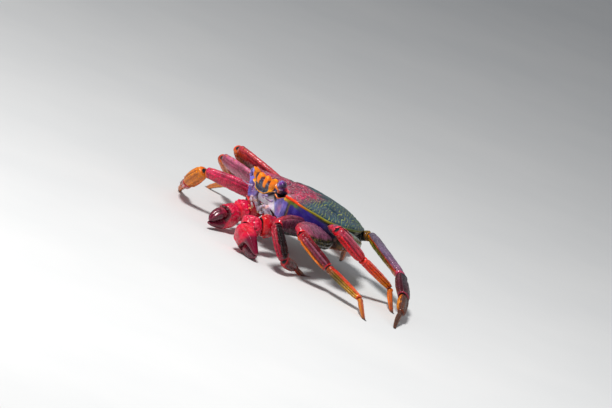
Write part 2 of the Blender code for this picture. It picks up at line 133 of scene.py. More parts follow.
# ---- mesh assembly ------------------------------------------------------
class Skin:
    """Collects closed patches, then makes one mesh object."""

    def __init__(self):
        self.v, self.q, self.t, self.col, self.msk, self.loc, self.ext = [], [], [], [], [], [], []
        self.mi_q, self.mi_t = [], []
        self.n = 0

    def add(self, v, q=None, t=None, col=(0.5, 0.5, 0.5), msk=(0, 0, 0, 1), loc=None, ext=None, mi=0, closed=True):
        v = np.asarray(v, float).reshape(-1, 3)
        n = len(v)
        q = np.zeros((0, 4), np.int64) if q is None else np.asarray(q, np.int64).reshape(-1, 4)
        t = np.zeros((0, 3), np.int64) if t is None else np.asarray(t, np.int64).reshape(-1, 3)
        if closed:
            c = v.mean(0)
            w = v - c
            vol = 0.0
            if len(q):
                vol += np.einsum("ij,ij->", w[q[:, 0]], np.cross(w[q[:, 1]], w[q[:, 2]]))
                vol += np.einsum("ij,ij->", w[q[:, 0]], np.cross(w[q[:, 2]], w[q[:, 3]]))
            if len(t):
                vol += np.einsum("ij,ij->", w[t[:, 0]], np.cross(w[t[:, 1]], w[t[:, 2]]))
            if vol < 0:
                q, t = q[:, ::-1], t[:, ::-1]
        self.v.append(v)
        self.q.append(q + self.n)
        self.t.append(t + self.n)
        self.mi_q.append(np.full(len(q), mi))
        self.mi_t.append(np.full(len(t), mi))
        col = 1.04 * np.clip(np.asarray(col, float), 0, 1) ** 1.22      # enamel is deeper than the mixing values
        self.col.append(np.broadcast_to(np.asarray(col, float).reshape(-1, 3) if np.ndim(col) > 1 else np.asarray(col, float), (n, 3)))
        self.msk.append(np.broadcast_to(np.asarray(msk, float).reshape(-1, 4) if np.ndim(msk) > 1 else np.asarray(msk, float), (n, 4)))
        self.loc.append(v if loc is None else np.asarray(loc, float).reshape(-1, 3))
        self.ext.append(np.zeros((n, 3)) if ext is None else np.asarray(ext, float).reshape(-1, 3))
        self.n += n

    def make(self, name, nodes, mats):
        v = np.concatenate(self.v) * CL + SHIFT
        q, t = np.concatenate(self.q), np.concatenate(self.t)
        me = bpy.data.meshes.new(name)
        me.vertices.add(len(v))
        me.vertices.foreach_set("co", v.astype(np.float32).ravel())
        loops = np.concatenate([q.ravel(), t.ravel()]).astype(np.int32)
        me.loops.add(len(loops))
        me.loops.foreach_set("vertex_index", loops)
        starts = np.concatenate([np.arange(len(q)) * 4, len(q) * 4 + np.arange(len(t)) * 3]).astype(np.int32)
        me.polygons.add(len(starts))
        me.polygons.foreach_set("loop_start", starts)
        me.polygons.foreach_set("material_index", np.concatenate(self.mi_q + self.mi_t).astype(np.int32))
        me.update(calc_edges=True)
        me.validate()
        me.shade_smooth()
        col = np.concatenate(self.col)
        rgba = np.concatenate([np.clip(col, 0.002, 1), np.ones((len(col), 1))], 1).astype(np.float32)
        a = me.attributes.new("Col", "FLOAT_COLOR", "POINT")
        a.data.foreach_set("color", rgba.ravel())
        a = me.attributes.new("Msk", "FLOAT_COLOR", "POINT")
        a.data.foreach_set("color", np.clip(np.concatenate(self.msk), 0, 1).astype(np.float32).ravel())
        a = me.attributes.new("Loc", "FLOAT_VECTOR", "POINT")
        a.data.foreach_set("vector", (np.concatenate(self.loc) * CL).astype(np.float32).ravel())
        a = me.attributes.new("Ext", "FLOAT_VECTOR", "POINT")
        a.data.foreach_set("vector", np.concatenate(self.ext).astype(np.float32).ravel())
        ob = bpy.data.objects.new(name, me)
        bpy.context.scene.collection.objects.link(ob)
        for m in (mats if isinstance(mats, (list, tuple)) else [mats]):
            me.materials.append(m)
        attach(ob, "root")
        if nodes:
            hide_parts(*([nodes] if isinstance(nodes, str) else nodes))
        return ob


def grid_faces(nu, nv, wrap=True):
    i = np.arange(nu - 1)[:, None] * nv
    j = np.arange(nv if wrap else nv - 1)[None, :]
    jn = (j + 1) % nv
    return np.stack([i + j, i + jn, i + nv + jn, i + nv + j], -1).reshape(-1, 4)


def closed_tube(P, first, last):
    """Grid (nu, nv, 3) closed with a pole at both ends: verts, quads, tris."""
    nu, nv = P.shape[:2]
    v = np.concatenate([P.reshape(-1, 3), [first], [last]])
    q = grid_faces(nu, nv)
    j = np.arange(nv)
    p0, p1, off = nu * nv, nu * nv + 1, (nu - 1) * nv
    t = np.concatenate([np.stack([np.full(nv, p0), (j + 1) % nv, j], -1),
                        np.stack([np.full(nv, p1), off + j, off + (j + 1) % nv], -1)])
    return v, q, t


def with_poles(A):
    """Per-vertex grid data (nu, nv, k) plus rows for the two poles."""
    k = A.shape[-1]
    return np.concatenate([A.reshape(-1, k), A[0].mean(0)[None], A[-1].mean(0)[None]])


def normals(P):
    du = np.gradient(P, axis=0)
    Pw = np.concatenate([P[:, -1:], P, P[:, :1]], 1)
    dv = (Pw[:, 2:] - Pw[:, :-2]) / 2
    n = np.cross(du, dv)
    n /= np.maximum(np.linalg.norm(n, axis=-1, keepdims=True), 1e-12)
    c = P.mean(axis=1, keepdims=True)
    if np.mean(np.einsum("ijk,ijk->ij", n, P - c)) < 0:
        n = -n
    return n


class Seg:
    """A limb piece as a fine grid with its own frame: axis ax, edge side e, face side t."""

    def __init__(self, a, b, e, prof, nu=100, nv=64, expo=2.3, cap=0.10, cap_end=None, bow=0.0):
        self.a, self.b = np.asarray(a, float), np.asarray(b, float)
        self.ax = unit(self.b - self.a)
        self.L = np.linalg.norm(self.b - self.a)
        e = np.asarray(e, float)
        self.e = unit(e - np.dot(e, self.ax) * self.ax)
        self.t = np.cross(self.ax, self.e)
        cap_end = cap if cap_end is None else cap_end
        n1, n2 = max(5, int(nu * min(0.24, cap * 1.6))), max(5, int(nu * min(0.24, cap_end * 1.6)))
        a1 = np.linspace(0.12, 1, n1) * np.pi / 2
        a2 = np.linspace(0.12, 1, n2) * np.pi / 2
        u = np.concatenate([cap * (1 - np.cos(a1)), np.linspace(cap, 1 - cap_end, nu - n1 - n2 + 2)[1:-1],
                            1 - cap_end * (1 - np.cos(a2[::-1]))])
        self.u = u
        val = hermite(prof, u)
        k = np.ones(len(u))
        lo, hi = u < cap, u > 1 - cap_end
        k[lo] = np.sqrt(np.clip(1 - ((cap - u[lo]) / cap) ** 2, 0, 1))
        k[hi] = np.sqrt(np.clip(1 - ((u[hi] - 1 + cap_end) / cap_end) ** 2, 0, 1))
        self.we, self.wf, self.tt = val[:, 0] * k, val[:, 1] * k, val[:, 2] * k
        th = np.arange(nv) / nv * 2 * np.pi
        c, s = np.cos(th), np.sin(th)
        cc = np.sign(c) * np.abs(c) ** (2 / expo)
        sn = np.sign(s) * np.abs(s) ** (2 / expo)
        # points spaced evenly round the section
        self.C = self.a + self.ax * (self.L * u)[:, None] + self.e * (4 * u * (1 - u) * bow)[:, None]
        w = np.where(cc[None] > 0, self.we[:, None], self.wf[:, None])
        ee, te = cc[None] * w, sn[None] * self.tt[:, None]
        self.P = self.C[:, None] + ee[..., None] * self.e + te[..., None] * self.t
        self.U = np.repeat(u[:, None], nv, 1)
        self.CE, self.ST = np.repeat(c[None], len(u), 0), np.repeat(s[None], len(u), 0)
        self.TH = np.repeat(th[None], len(u), 0)
        self.loc = np.stack([ee, te, self.U * self.L], -1)
        self.first, self.last = self.a.copy(), self.b.copy()
        self.cup = np.zeros(self.U.shape)
        self.lip = np.zeros(self.U.shape)

    def push(self, d):
        self.P = self.P + normals(self.P) * np.asarray(d)[..., None]

    def socket(self, J, child, d0=-0.016, depth=0.026, lip=0.005, width=0.016, mix=1.0):
        """Hollow the far end into a cup that faces along the child's axis, with a raised lip round it."""
        n = unit(self.ax * mix + child)
        d = (self.P - J) @ n
        far = ss(self.U, 0.45, 0.60)
        hi = (d > d0) & (far > 0.5)
        dm = max(float(d[hi].max()) if hi.any() else 0.0, d0 + 0.02)
        l = np.exp(-((d - d0 + width * 0.55) / (width * 0.5)) ** 2) * far * (d <= d0)
        self.P = self.P + normals(self.P) * (l * lip)[..., None]
        d = (self.P - J) @ n
        f = ss(d, d0, d0 + (dm - d0) * 0.8)
        mv = np.where((d > d0) & (far > 0.5), (d - d0) + depth * f, 0)
        self.P = self.P - n * mv[..., None]
        dl = (self.last - J) @ n
        self.last = self.last - n * (max(dl - d0, 0) + depth)
        self.cup = np.maximum(self.cup, ss(d, d0 - 0.001, d0 + 0.003) * (far > 0.5))
        self.lip = np.maximum(self.lip, np.exp(-((d - d0 + width * 0.6) / (width * 0.75)) ** 2) * far)

    def into(self, sk, col, msk, clamp=False, mi=0, ext=None):
        v, q, t = closed_tube(self.P, self.first, self.last)
        if clamp:
            v[:, 2] = np.maximum(v[:, 2], 0.0)
        sk.add(v, q, t, with_poles(col), with_poles(msk), with_poles(self.loc), mi=mi,
               ext=None if ext is None else with_poles(ext))


def spines(sk, base, direc, length, radius, col0, col1, bend=None, sides=6, mi=0, msk=(0, 0, 0, 1)):
    """Many small curved cones in one go. base, direc: (K, 3)."""
    base, direc = np.asarray(base, float).reshape(-1, 3), np.asarray(direc, float).reshape(-1, 3)
    K = len(base)
    if K == 0:
        return
    direc = direc / np.maximum(np.linalg.norm(direc, axis=1, keepdims=True), 1e-9)
    length, radius = np.broadcast_to(length, (K,)), np.broadcast_to(radius, (K,))
    ref = np.where(np.abs(direc[:, 2:3]) < 0.8, np.array([[0, 0, 1.0]]), np.array([[1.0, 0, 0]]))
    s1 = np.cross(direc, ref)
    s1 /= np.linalg.norm(s1, axis=1, keepdims=True)
    s2 = np.cross(direc, s1)
    bend = np.zeros((K, 3)) if bend is None else np.broadcast_to(bend, (K, 3))
    ts, rs = (-0.12, 0.28, 0.62, 0.88), (1.0, 0.86, 0.56, 0.24)
    th = np.arange(sides) / sides * 2 * np.pi
    rings = []
    for tv, rv in zip(ts, rs):
        c = base + direc * (length * tv)[:, None] + bend * (length * max(tv, 0) ** 2)[:, None]
        rings.append(c[:, None] + (s1[:, None] * np.cos(th)[None, :, None] + s2[:, None] * np.sin(th)[None, :, None])
                     * (radius * rv)[:, None, None])
    tip = base + direc * length[:, None] + bend * length[:, None]
    foot = base - direc * (length * 0.14)[:, None]
    V = np.concatenate([np.stack(rings, 1).reshape(K, -1, 3), tip[:, None], foot[:, None]], 1)
    per = V.shape[1]
    m = len(ts)
    j = np.arange(sides)
    qs = np.concatenate([np.stack([i * sides + j, i * sides + (j + 1) % sides, (i + 1) * sides + (j + 1) % sides, (i + 1) * sides + j], -1)
                         for i in range(m - 1)])
    tl = np.concatenate([np.stack([(m - 1) * sides + j, (m - 1) * sides + (j + 1) % sides, np.full(sides, m * sides)], -1),
                         np.stack([(j + 1) % sides, j, np.full(sides, m * sides + 1)], -1)])
    off = (np.arange(K) * per)[:, None, None]
    g = np.concatenate([np.repeat([0.0, 0.35, 0.75, 1.0], sides), [1.0, 0.0]])
    colv = mixc(np.asarray(col0)[None], np.asarray(col1)[None], g)
    colv = np.repeat(colv[None], K, 0).reshape(-1, 3)
    V = V.reshape(-1, 3)
    V[:, 2] = np.maximum(V[:, 2], 0.0008)
    sk.add(V, (qs[None] + off).reshape(-1, 4), (tl[None] + off).reshape(-1, 3), colv, msk, mi=mi, closed=False)


# ---- materials ----------------------------------------------------------
def nd(nt, kind, props=None, **ins):
    n = nt.nodes.new(kind)
    for k, v in (props or {}).items():
        setattr(n, k, v)
    for k, v in ins.items():
        s = n.inputs[int(k[1:])] if k[0] == "i" and k[1:].isdigit() else n.inputs[k.replace("_", " ")]
        if isinstance(v, bpy.types.NodeSocket):
            nt.links.new(v, s)
        else:
            s.default_value = v
    return n


def mth(nt, op, a, b=0.0, c=0.0, clamp=False):
    return nd(nt, "ShaderNodeMath", dict(operation=op, use_clamp=clamp), i0=a, i1=b, i2=c).outputs[0]


def mixn(nt, fac, a, b, blend="MIX"):
    n = nt.nodes.new("ShaderNodeMix")
    n.data_type, n.blend_type, n.clamp_result = "RGBA", blend, False
    for idx, v in ((0, fac), (6, a), (7, b)):
        if isinstance(v, bpy.types.NodeSocket):
            nt.links.new(v, n.inputs[idx])
        elif idx == 0:
            n.inputs[0].default_value = v
        else:
            n.inputs[idx].default_value = (*v, 1) if len(v) == 3 else v
    return n.outputs[2]


def ramp(nt, fac, stops, interp="LINEAR"):
    n = nt.nodes.new("ShaderNodeValToRGB")
    cr = n.color_ramp
    cr.interpolation = interp
    while len(cr.elements) < len(stops):
        cr.elements.new(0.5)
    for el, (p, v) in zip(cr.elements, stops):
        el.position = p
        el.color = (v, v, v, 1) if np.isscalar(v) else (*v, 1)
    nt.links.new(fac, n.inputs[0])
    return n.outputs[0]


def tex_noise(nt, vec, scale, detail=2.0, rough=0.5, dist=0.0):
    return nd(nt, "ShaderNodeTexNoise", None, Vector=vec, Scale=scale, Detail=detail, Roughness=rough, Distortion=dist).outputs[0]


def tex_voro(nt, vec, scale, feature="F1", rnd=1.0):
    return nd(nt, "ShaderNodeTexVoronoi", dict(feature=feature), Vector=vec, Scale=scale, Randomness=rnd).outputs["Distance"]


def shell_mat(name, rough=0.30, coat=0.55, coat_rough=0.10, fleck=(1.0, 0.80, 0.78), fleck_scale=1150.0, fleck_gain=0.85,
              stripe=(0.02, 0.05, 0.06), stripe_pitch=0.0011, relief=0.00010, dark=(0.30, 0.26, 0.34), lines=None,
              spec=0.5, cover=0.30, sss=0.0):
    """Enamelled crab shell: painted base, cloudy mottling, pale flecks, fine cross lines, pores and gloss."""
    m = bpy.data.materials.new(name)
    m.use_nodes = True
    nt = m.node_tree
    bs = nt.nodes["Principled BSDF"]
    col = nd(nt, "ShaderNodeAttribute", dict(attribute_name="Col")).outputs["Color"]
    mk = nd(nt, "ShaderNodeAttribute", dict(attribute_name="Msk"))
    sep = nd(nt, "ShaderNodeSeparateColor", None, Color=mk.outputs["Color"])
    fl_amt, dk_amt, st_amt, wet = sep.outputs[0], sep.outputs[1], sep.outputs[2], mk.outputs["Alpha"]
    loc = nd(nt, "ShaderNodeAttribute", dict(attribute_name="Loc")).outputs["Vector"]
    pos = nd(nt, "ShaderNodeTexCoord").outputs["Object"]
    # broad drift of tone and hue
    drift = tex_noise(nt, pos, 130.0, 3.0, 0.55)
    tone = ramp(nt, drift, [(0.30, 0.66), (0.50, 1.0), (0.72, 1.25)])
    base = mixn(nt, 1.0, col, tone, "MULTIPLY")
    hue = tex_noise(nt, pos, 310.0, 2.0, 0.5)
    base = mixn(nt, ramp(nt, hue, [(0.40, 0.0), (0.66, 0.32)]), base, mixn(nt, 1.0, base, (1.25, 0.78, 1.10), "MULTIPLY"))
    # cloudy dark mottling
    mot = tex_noise(nt, pos, 520.0, 5.0, 0.62, 0.6)
    mo = mth(nt, "MULTIPLY", ramp(nt, mot, [(0.44, 0.0), (0.60, 1.0)]), dk_amt)
    base = mixn(nt, mo, base, mixn(nt, 1.0, base, dark, "MULTIPLY"))
    # cross lines that follow the limb
    warp = tex_noise(nt, pos, 420.0, 2.0, 0.5)
    zz = nd(nt, "ShaderNodeSeparateXYZ", None, Vector=loc).outputs[2]
    ph = mth(nt, "MULTIPLY_ADD", zz, 1.0 / stripe_pitch, mth(nt, "MULTIPLY", warp, 3.2))
    fr = mth(nt, "FRACT", ph)
    tri = mth(nt, "ABSOLUTE", mth(nt, "MULTIPLY_ADD", fr, 2.0, -1.0))
    broken = ramp(nt, tex_noise(nt, pos, 700.0, 2.0), [(0.42, 0.0), (0.54, 1.0)])
    st = mth(nt, "MULTIPLY", ramp(nt, tri, [(0.16, 1.0), (0.40, 0.0)]), mth(nt, "MULTIPLY", broken, st_amt))
    base = mixn(nt, mth(nt, "MULTIPLY", st, 0.75), base, mixn(nt, 0.55, stripe, base))
    # branching raised lines carried by a smooth field (shell back only)
    relief_h = mth(nt, "MULTIPLY", st, 0.5)
    if lines:
        ext = nd(nt, "ShaderNodeSeparateXYZ", None, Vector=nd(nt, "ShaderNodeAttribute", dict(attribute_name="Ext")).outputs["Vector"])
        ph2 = mth(nt, "MULTIPLY_ADD", tex_noise(nt, pos, 420.0, 2.0), 0.70, ext.outputs[0])
        tri2 = mth(nt, "ABSOLUTE", mth(nt, "MULTIPLY_ADD", mth(nt, "FRACT", ph2), 2.0, -1.0))
        br2 = ramp(nt, tex_noise(nt, pos, 430.0, 3.0), [(0.40, 0.0), (0.50, 1.0)])
        ln = mth(nt, "MULTIPLY", ramp(nt, tri2, [(0.10, 1.0), (0.27, 0.0)]), mth(nt, "MULTIPLY", br2, ext.outputs[1]))
        lc = mixn(nt, ramp(nt, tex_noise(nt, pos, 190.0, 2.0), [(0.40, 0.0), (0.62, 1.0)]), lines[0], lines[1])
        base = mixn(nt, mth(nt, "MULTIPLY", ln, 0.92), base, lc)
        # thin dark seam beside each line
        dkl = mth(nt, "MULTIPLY", ramp(nt, tri2, [(0.42, 0.0), (0.60, 1.0), (0.85, 0.0)]), mth(nt, "MULTIPLY", br2, ext.outputs[1]))
        base = mixn(nt, mth(nt, "MULTIPLY", dkl, 0.55), base, (0.012, 0.028, 0.040))
        relief_h = mth(nt, "ADD", relief_h, mth(nt, "MULTIPLY", ln, 0.8))
    # pale scale-like flecks
    wv = nd(nt, "ShaderNodeVectorMath", dict(operation="MULTIPLY_ADD"), i0=nd(nt, "ShaderNodeTexNoise", None, Vector=pos, Scale=600.0, Detail=1.0).outputs[1],
            i1=(0.0010, 0.0010, 0.0010), i2=pos).outputs[0]
    vo = tex_voro(nt, wv, fleck_scale)
    gate = ramp(nt, tex_noise(nt, pos, 480.0, 2.0), [(0.60 - cover, 0.0), (0.70 - cover, 1.0)])
    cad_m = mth(nt, "MULTIPLY", ramp(nt, vo, [(0.16, 1.0), (0.34, 0.0)]), mth(nt, "MULTIPLY", gate, fl_amt))
    base = mixn(nt, mth(nt, "MULTIPLY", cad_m, fleck_gain), base, mixn(nt, 0.62, base, fleck))
    # very fine pepper
    pep = tex_voro(nt, pos, 2600.0)
    base = mixn(nt, ramp(nt, pep, [(0.10, 0.30), (0.30, 0.0)]), base, mixn(nt, 1.0, base, (0.45, 0.42, 0.45), "MULTIPLY"))
    nt.links.new(base, bs.inputs["Base Color"])
    # surface
    fine = tex_noise(nt, pos, 2200.0, 3.0, 0.6)
    r = ramp(nt, tex_noise(nt, pos, 240.0, 3.0), [(0.30, rough * 0.72), (0.70, min(1, rough * 1.45))])
    r = mth(nt, "ADD", r, mth(nt, "MULTIPLY", mth(nt, "SUBTRACT", 1.0, wet), 0.45), clamp=True)
    nt.links.new(r, bs.inputs["Roughness"])
    h = mth(nt, "ADD", mth(nt, "MULTIPLY", fine, 0.35), mth(nt, "ADD", relief_h, mth(nt, "MULTIPLY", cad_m, 0.7)))
    bp = nd(nt, "ShaderNodeBump", None, Strength=0.8, Distance=relief, Height=h)
    nt.links.new(bp.outputs[0], bs.inputs["Normal"])
    bs.inputs["Specular IOR Level"].default_value = spec
    bs.inputs["Coat Weight"].default_value = coat
    bs.inputs["Coat Roughness"].default_value = coat_rough
    if sss:
        bs.inputs["Subsurface Weight"].default_value = sss
        bs.inputs["Subsurface Radius"].default_value = (0.6, 0.25, 0.15)
        bs.inputs["Subsurface Scale"].default_value = 0.0012
    return m


M_BACK = shell_mat("shell_back", rough=0.34, coat=0.10, coat_rough=0.10, spec=0.28, fleck=(1.0, 0.78, 0.84), fleck_scale=960.0, cover=0.37, fleck_gain=0.95,
                   lines=((0.40, 0.42, 0.050), (0.20, 0.33, 0.13)), stripe_pitch=0.0016, relief=0.00016, dark=(0.14, 0.12, 0.20))
M_SIDE = shell_mat("shell_side", rough=0.34, spec=0.35, coat=0.12, coat_rough=0.14, fleck=(0.62, 0.60, 0.95), fleck_scale=1800.0, stripe_pitch=0.0009,
                   relief=0.00008, dark=(0.30, 0.26, 0.50), cover=0.10, fleck_gain=0.5)
M_BELLY = shell_mat("shell_belly", rough=0.42, coat=0.2, coat_rough=0.2, fleck=(0.95, 0.45, 0.25), fleck_scale=1300.0, cover=0.16,
                    stripe=(0.30, 0.16, 0.18), relief=0.00008, dark=(0.45, 0.30, 0.34))
M_LEG = shell_mat("shell_leg", rough=0.24, spec=0.30, coat=0.14, coat_rough=0.05, fleck=(1.0, 0.72, 0.78), fleck_scale=1700.0, stripe_pitch=0.00105,
                  relief=0.00014, dark=(0.14, 0.09, 0.12), cover=0.13, fleck_gain=0.85)
M_CLAW = shell_mat("shell_claw", rough=0.22, spec=0.38, coat=0.24, coat_rough=0.04, fleck=(1.0, 0.76, 0.82), fleck_scale=1250.0, stripe=(1.0, 0.30, 0.42),
                   stripe_pitch=0.0013, relief=0.00020, dark=(0.26, 0.04, 0.08), cover=0.16, fleck_gain=0.95)
M_TOE = shell_mat("shell_toe", rough=0.36, coat=0.25, coat_rough=0.14, fleck=(1.0, 0.70, 0.25), fleck_scale=1900.0, stripe=(0.05, 0.02, 0.01),
                  stripe_pitch=0.0008, relief=0.00008, dark=(0.24, 0.14, 0.12), cover=0.14, fleck_gain=0.5)
M_MOUTH = shell_mat("shell_mouth", rough=0.38, coat=0.25, coat_rough=0.16, fleck=(1.0, 0.86, 0.80), fleck_scale=1700.0, stripe=(0.25, 0.16, 0.26),
                    stripe_pitch=0.0009, relief=0.00007, dark=(0.35, 0.28, 0.40), cover=0.18)


def eye_mat():
    m = bpy.data.materials.new("eye_glass")
    m.use_nodes = True
    nt = m.node_tree
    bs = nt.nodes["Principled BSDF"]
    col = nd(nt, "ShaderNodeAttribute", dict(attribute_name="Col")).outputs["Color"]
    wet = nd(nt, "ShaderNodeAttribute", dict(attribute_name="Msk")).outputs["Alpha"]
    pos = nd(nt, "ShaderNodeTexCoord").outputs["Object"]
    hexes = tex_voro(nt, pos, 9000.0, "DISTANCE_TO_EDGE", 0.55)
    facet = ramp(nt, hexes, [(0.0, 0.55), (0.10, 1.0)])
    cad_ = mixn(nt, wet, (1, 1, 1), facet)
    base = mixn(nt, 1.0, col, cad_, "MULTIPLY")
    band = ramp(nt, tex_noise(nt, pos, 900.0, 3.0), [(0.35, 0.70), (0.68, 1.30)])
    nt.links.new(mixn(nt, 1.0, base, band, "MULTIPLY"), bs.inputs["Base Color"])
    rr = mth(nt, "MULTIPLY_ADD", wet, -0.30, 0.42)
    nt.links.new(rr, bs.inputs["Roughness"])
    bp = nd(nt, "ShaderNodeBump", None, Strength=0.5, Distance=0.00003, Height=facet)
    nt.links.new(bp.outputs[0], bs.inputs["Normal"])
    bs.inputs["Coat Weight"].default_value = 0.6
    bs.inputs["Coat Roughness"].default_value = 0.04
    return m


def horn_mat(name, rough=0.35):
    """Spines, teeth and bristles: horn with a little streaking."""
    m = bpy.data.materials.new(name)
    m.use_nodes = True
    nt = m.node_tree
    bs = nt.nodes["Principled BSDF"]
    col = nd(nt, "ShaderNodeAttribute", dict(attribute_name="Col")).outputs["Color"]
    pos = nd(nt, "ShaderNodeTexCoord").outputs["Object"]
    v = ramp(nt, tex_noise(nt, pos, 1500.0, 3.0), [(0.35, 0.72), (0.65, 1.25)])
    nt.links.new(mixn(nt, 1.0, col, v, "MULTIPLY"), bs.inputs["Base Color"])
    nt.links.new(ramp(nt, tex_noise(nt, pos, 900.0, 2.0), [(0.3, rough * 0.8), (0.7, rough * 1.4)]), bs.inputs["Roughness"])
    bs.inputs["Coat Weight"].default_value = 0.3
    bs.inputs["Coat Roughness"].default_value = 0.2
    return m


M_EYE = eye_mat()
M_HORN = horn_mat("horn")

# ---- camera, floor, light -----------------------------------------------
AZ, EL, ROLL, LENS = math.radians(60.8), math.radians(9.84), math.radians(20.9), 300.0
back = np.array([math.sin(AZ) * math.cos(EL), -math.cos(AZ) * math.cos(EL), math.sin(EL)])
right = unit(np.cross([0, 0, 1], back))
up = np.cross(back, right)
RX = math.cos(ROLL) * right + math.sin(ROLL) * up
UX = -math.sin(ROLL) * right + math.cos(ROLL) * up
FPX = LENS / 36.0 * 612
DIST = FPX / (122 / CL)
aim = np.array([0, 0, BODY_HEIGHT * CL]) + SHIFT
eye_pt = aim + back * DIST - RX * (7.5 / FPX * DIST) - UX * (1.0 / FPX * DIST)
cam = bpy.data.objects.new("camera", bpy.data.cameras.new("camera"))
bpy.context.scene.collection.objects.link(cam)
cam.data.lens, cam.data.sensor_width, cam.data.clip_end, cam.data.clip_start = LENS, 36.0, 40.0, 0.05
cam.matrix_world = Matrix([[RX[i], UX[i], back[i], eye_pt[i]] for i in range(3)] + [[0, 0, 0, 1]])
bpy.context.scene.camera = cam

fl = bpy.data.meshes.new("floor")
fl.from_pydata([(-6, -6, 0), (6, -6, 0), (6, 6, 0), (-6, 6, 0)], [], [(0, 1, 2, 3)])
floor = bpy.data.objects.new("floor", fl)
bpy.context.scene.collection.objects.link(floor)
fm = bpy.data.materials.new("floor_paper")
fm.use_nodes = True
fnt = fm.node_tree
fb = fnt.nodes["Principled BSDF"]
fp = nd(fnt, "ShaderNodeTexCoord").outputs["Object"]
fnt.links.new(ramp(fnt, tex_noise(fnt, fp, 9.0, 4.0), [(0.3, (0.70, 0.71, 0.72)), (0.7, (0.74, 0.745, 0.75))]), fb.inputs["Base Color"])
fb.inputs["Roughness"].default_value = 0.85
fl.materials.append(fm)


def area(name, loc, target, size, power, colour=(1, 1, 1)):
    l = bpy.data.lights.new(name, "AREA")
    l.shape, l.size, l.energy, l.color = "DISK", size, power, colour
    o = bpy.data.objects.new(name, l)
    bpy.context.scene.collection.objects.link(o)
    o.location = loc
    d = Vector(target) - Vector(loc)
    o.rotation_euler = d.to_track_quat("-Z", "Y").to_euler()
    return o


mid = Vector((0.0, 0.0, 0.025))
kd = back * 0.55 + np.array([0, 0, 1.0]) + right * (-0.35)
area("key", mid + Vector(unit(kd) * 1.1), mid, 0.26, 12.5, (1.0, 0.985, 0.96))
area("fill", mid + Vector(unit(back * 1.0 + right * 0.9 + np.array([0, 0, 0.35])) * 1.4), mid, 0.5, 1.7, (0.95, 0.97, 1.0))
area("rim", mid + Vector(unit(-back * 0.8 + right * 0.2 + np.array([0, 0, 0.9])) * 1.3), mid, 0.6, 0.5)
wd = bpy.data.worlds.new("studio")
bpy.context.scene.world = wd
wd.use_nodes = True
wd.node_tree.nodes["Background"].inputs[0].default_value = (0.93, 0.96, 1.0, 1)
wd.node_tree.nodes["Background"].inputs[1].default_value = 0.25
bpy.context.scene.view_settings.view_transform = "Standard"


# ---- the shell ----------------------------------------------------------
MARGIN = [
    (0.00, 0.522, 0.000, 0.010), (0.06, 0.521, 0.075, 0.012), (0.12, 0.508, 0.135, 0.020),
    (0.165, 0.480, 0.176, 0.036), (0.20, 0.455, 0.210, 0.048), (0.235, 0.440, 0.260, 0.048),
    (0.27, 0.432, 0.314, 0.036), (0.30, 0.468, 0.356, 0.010), (0.33, 0.418, 0.386, 0.006),
    (0.355, 0.385, 0.408, 0.002), (0.38, 0.374, 0.440, 0.000), (0.42, 0.318, 0.466, -0.006),
    (0.48, 0.220, 0.503, -0.014), (0.55, 0.090, 0.533, -0.026), (0.62, -0.040, 0.532, -0.022),
    (0.70, -0.175, 0.486, -0.014), (0.78, -0.282, 0.400, -0.012), (0.85, -0.364, 0.302, -0.012),
    (0.91, -0.424, 0.212, -0.014), (0.96, -0.460, 0.114, -0.016), (1.00, -0.472, 0.000, -0.016)]
WALL = [
    (0.00, 0.030, 0.150, 0.090, 0.160), (0.06, 0.030, 0.150, 0.082, 0.160), (0.12, 0.035, 0.150, 0.046, 0.165),
    (0.165, 0.045, 0.140, 0.020, 0.175), (0.20, 0.030, 0.100, 0.036, 0.185), (0.27, 0.010, 0.080, 0.052, 0.195),
    (0.30, 0.060, 0.130, 0.075, 0.200), (0.38, 0.050, 0.170, 0.095, 0.200), (0.48, 0.045, 0.200, 0.115, 0.200),
    (0.60, 0.050, 0.230, 0.110, 0.180), (0.72, 0.060, 0.220, 0.085, 0.140), (0.85, 0.045, 0.150, 0.055, 0.095),
    (0.94, 0.030, 0.070, 0.038, 0.065), (1.00, 0.020, 0.060, 0.034, 0.060)]
LOBES = ((0.060, 0.030), (0.150, 0.030))

_s = np.concatenate([np.linspace(0, 0.42, 190), np.linspace(0.42, 1, 132)[1:]])
_n = len(_s)
_idx = np.array(list(range(_n)) + list(range(_n - 2, 0, -1)))
_sg = np.array([1] * _n + [-1] * (_n - 2))
ST_M = hermite(MARGIN, _s)[_idx]
ST_M[:, 1] *= _sg
ST_W = hermite(WALL, _s)[_idx]
ST_S = _s[_idx]


def crimson_zone(x, ay, wob):
    return ss(x - (-0.02 + 2.4 * ay ** 2) + 0.060 * wob, -0.105, 0.105)


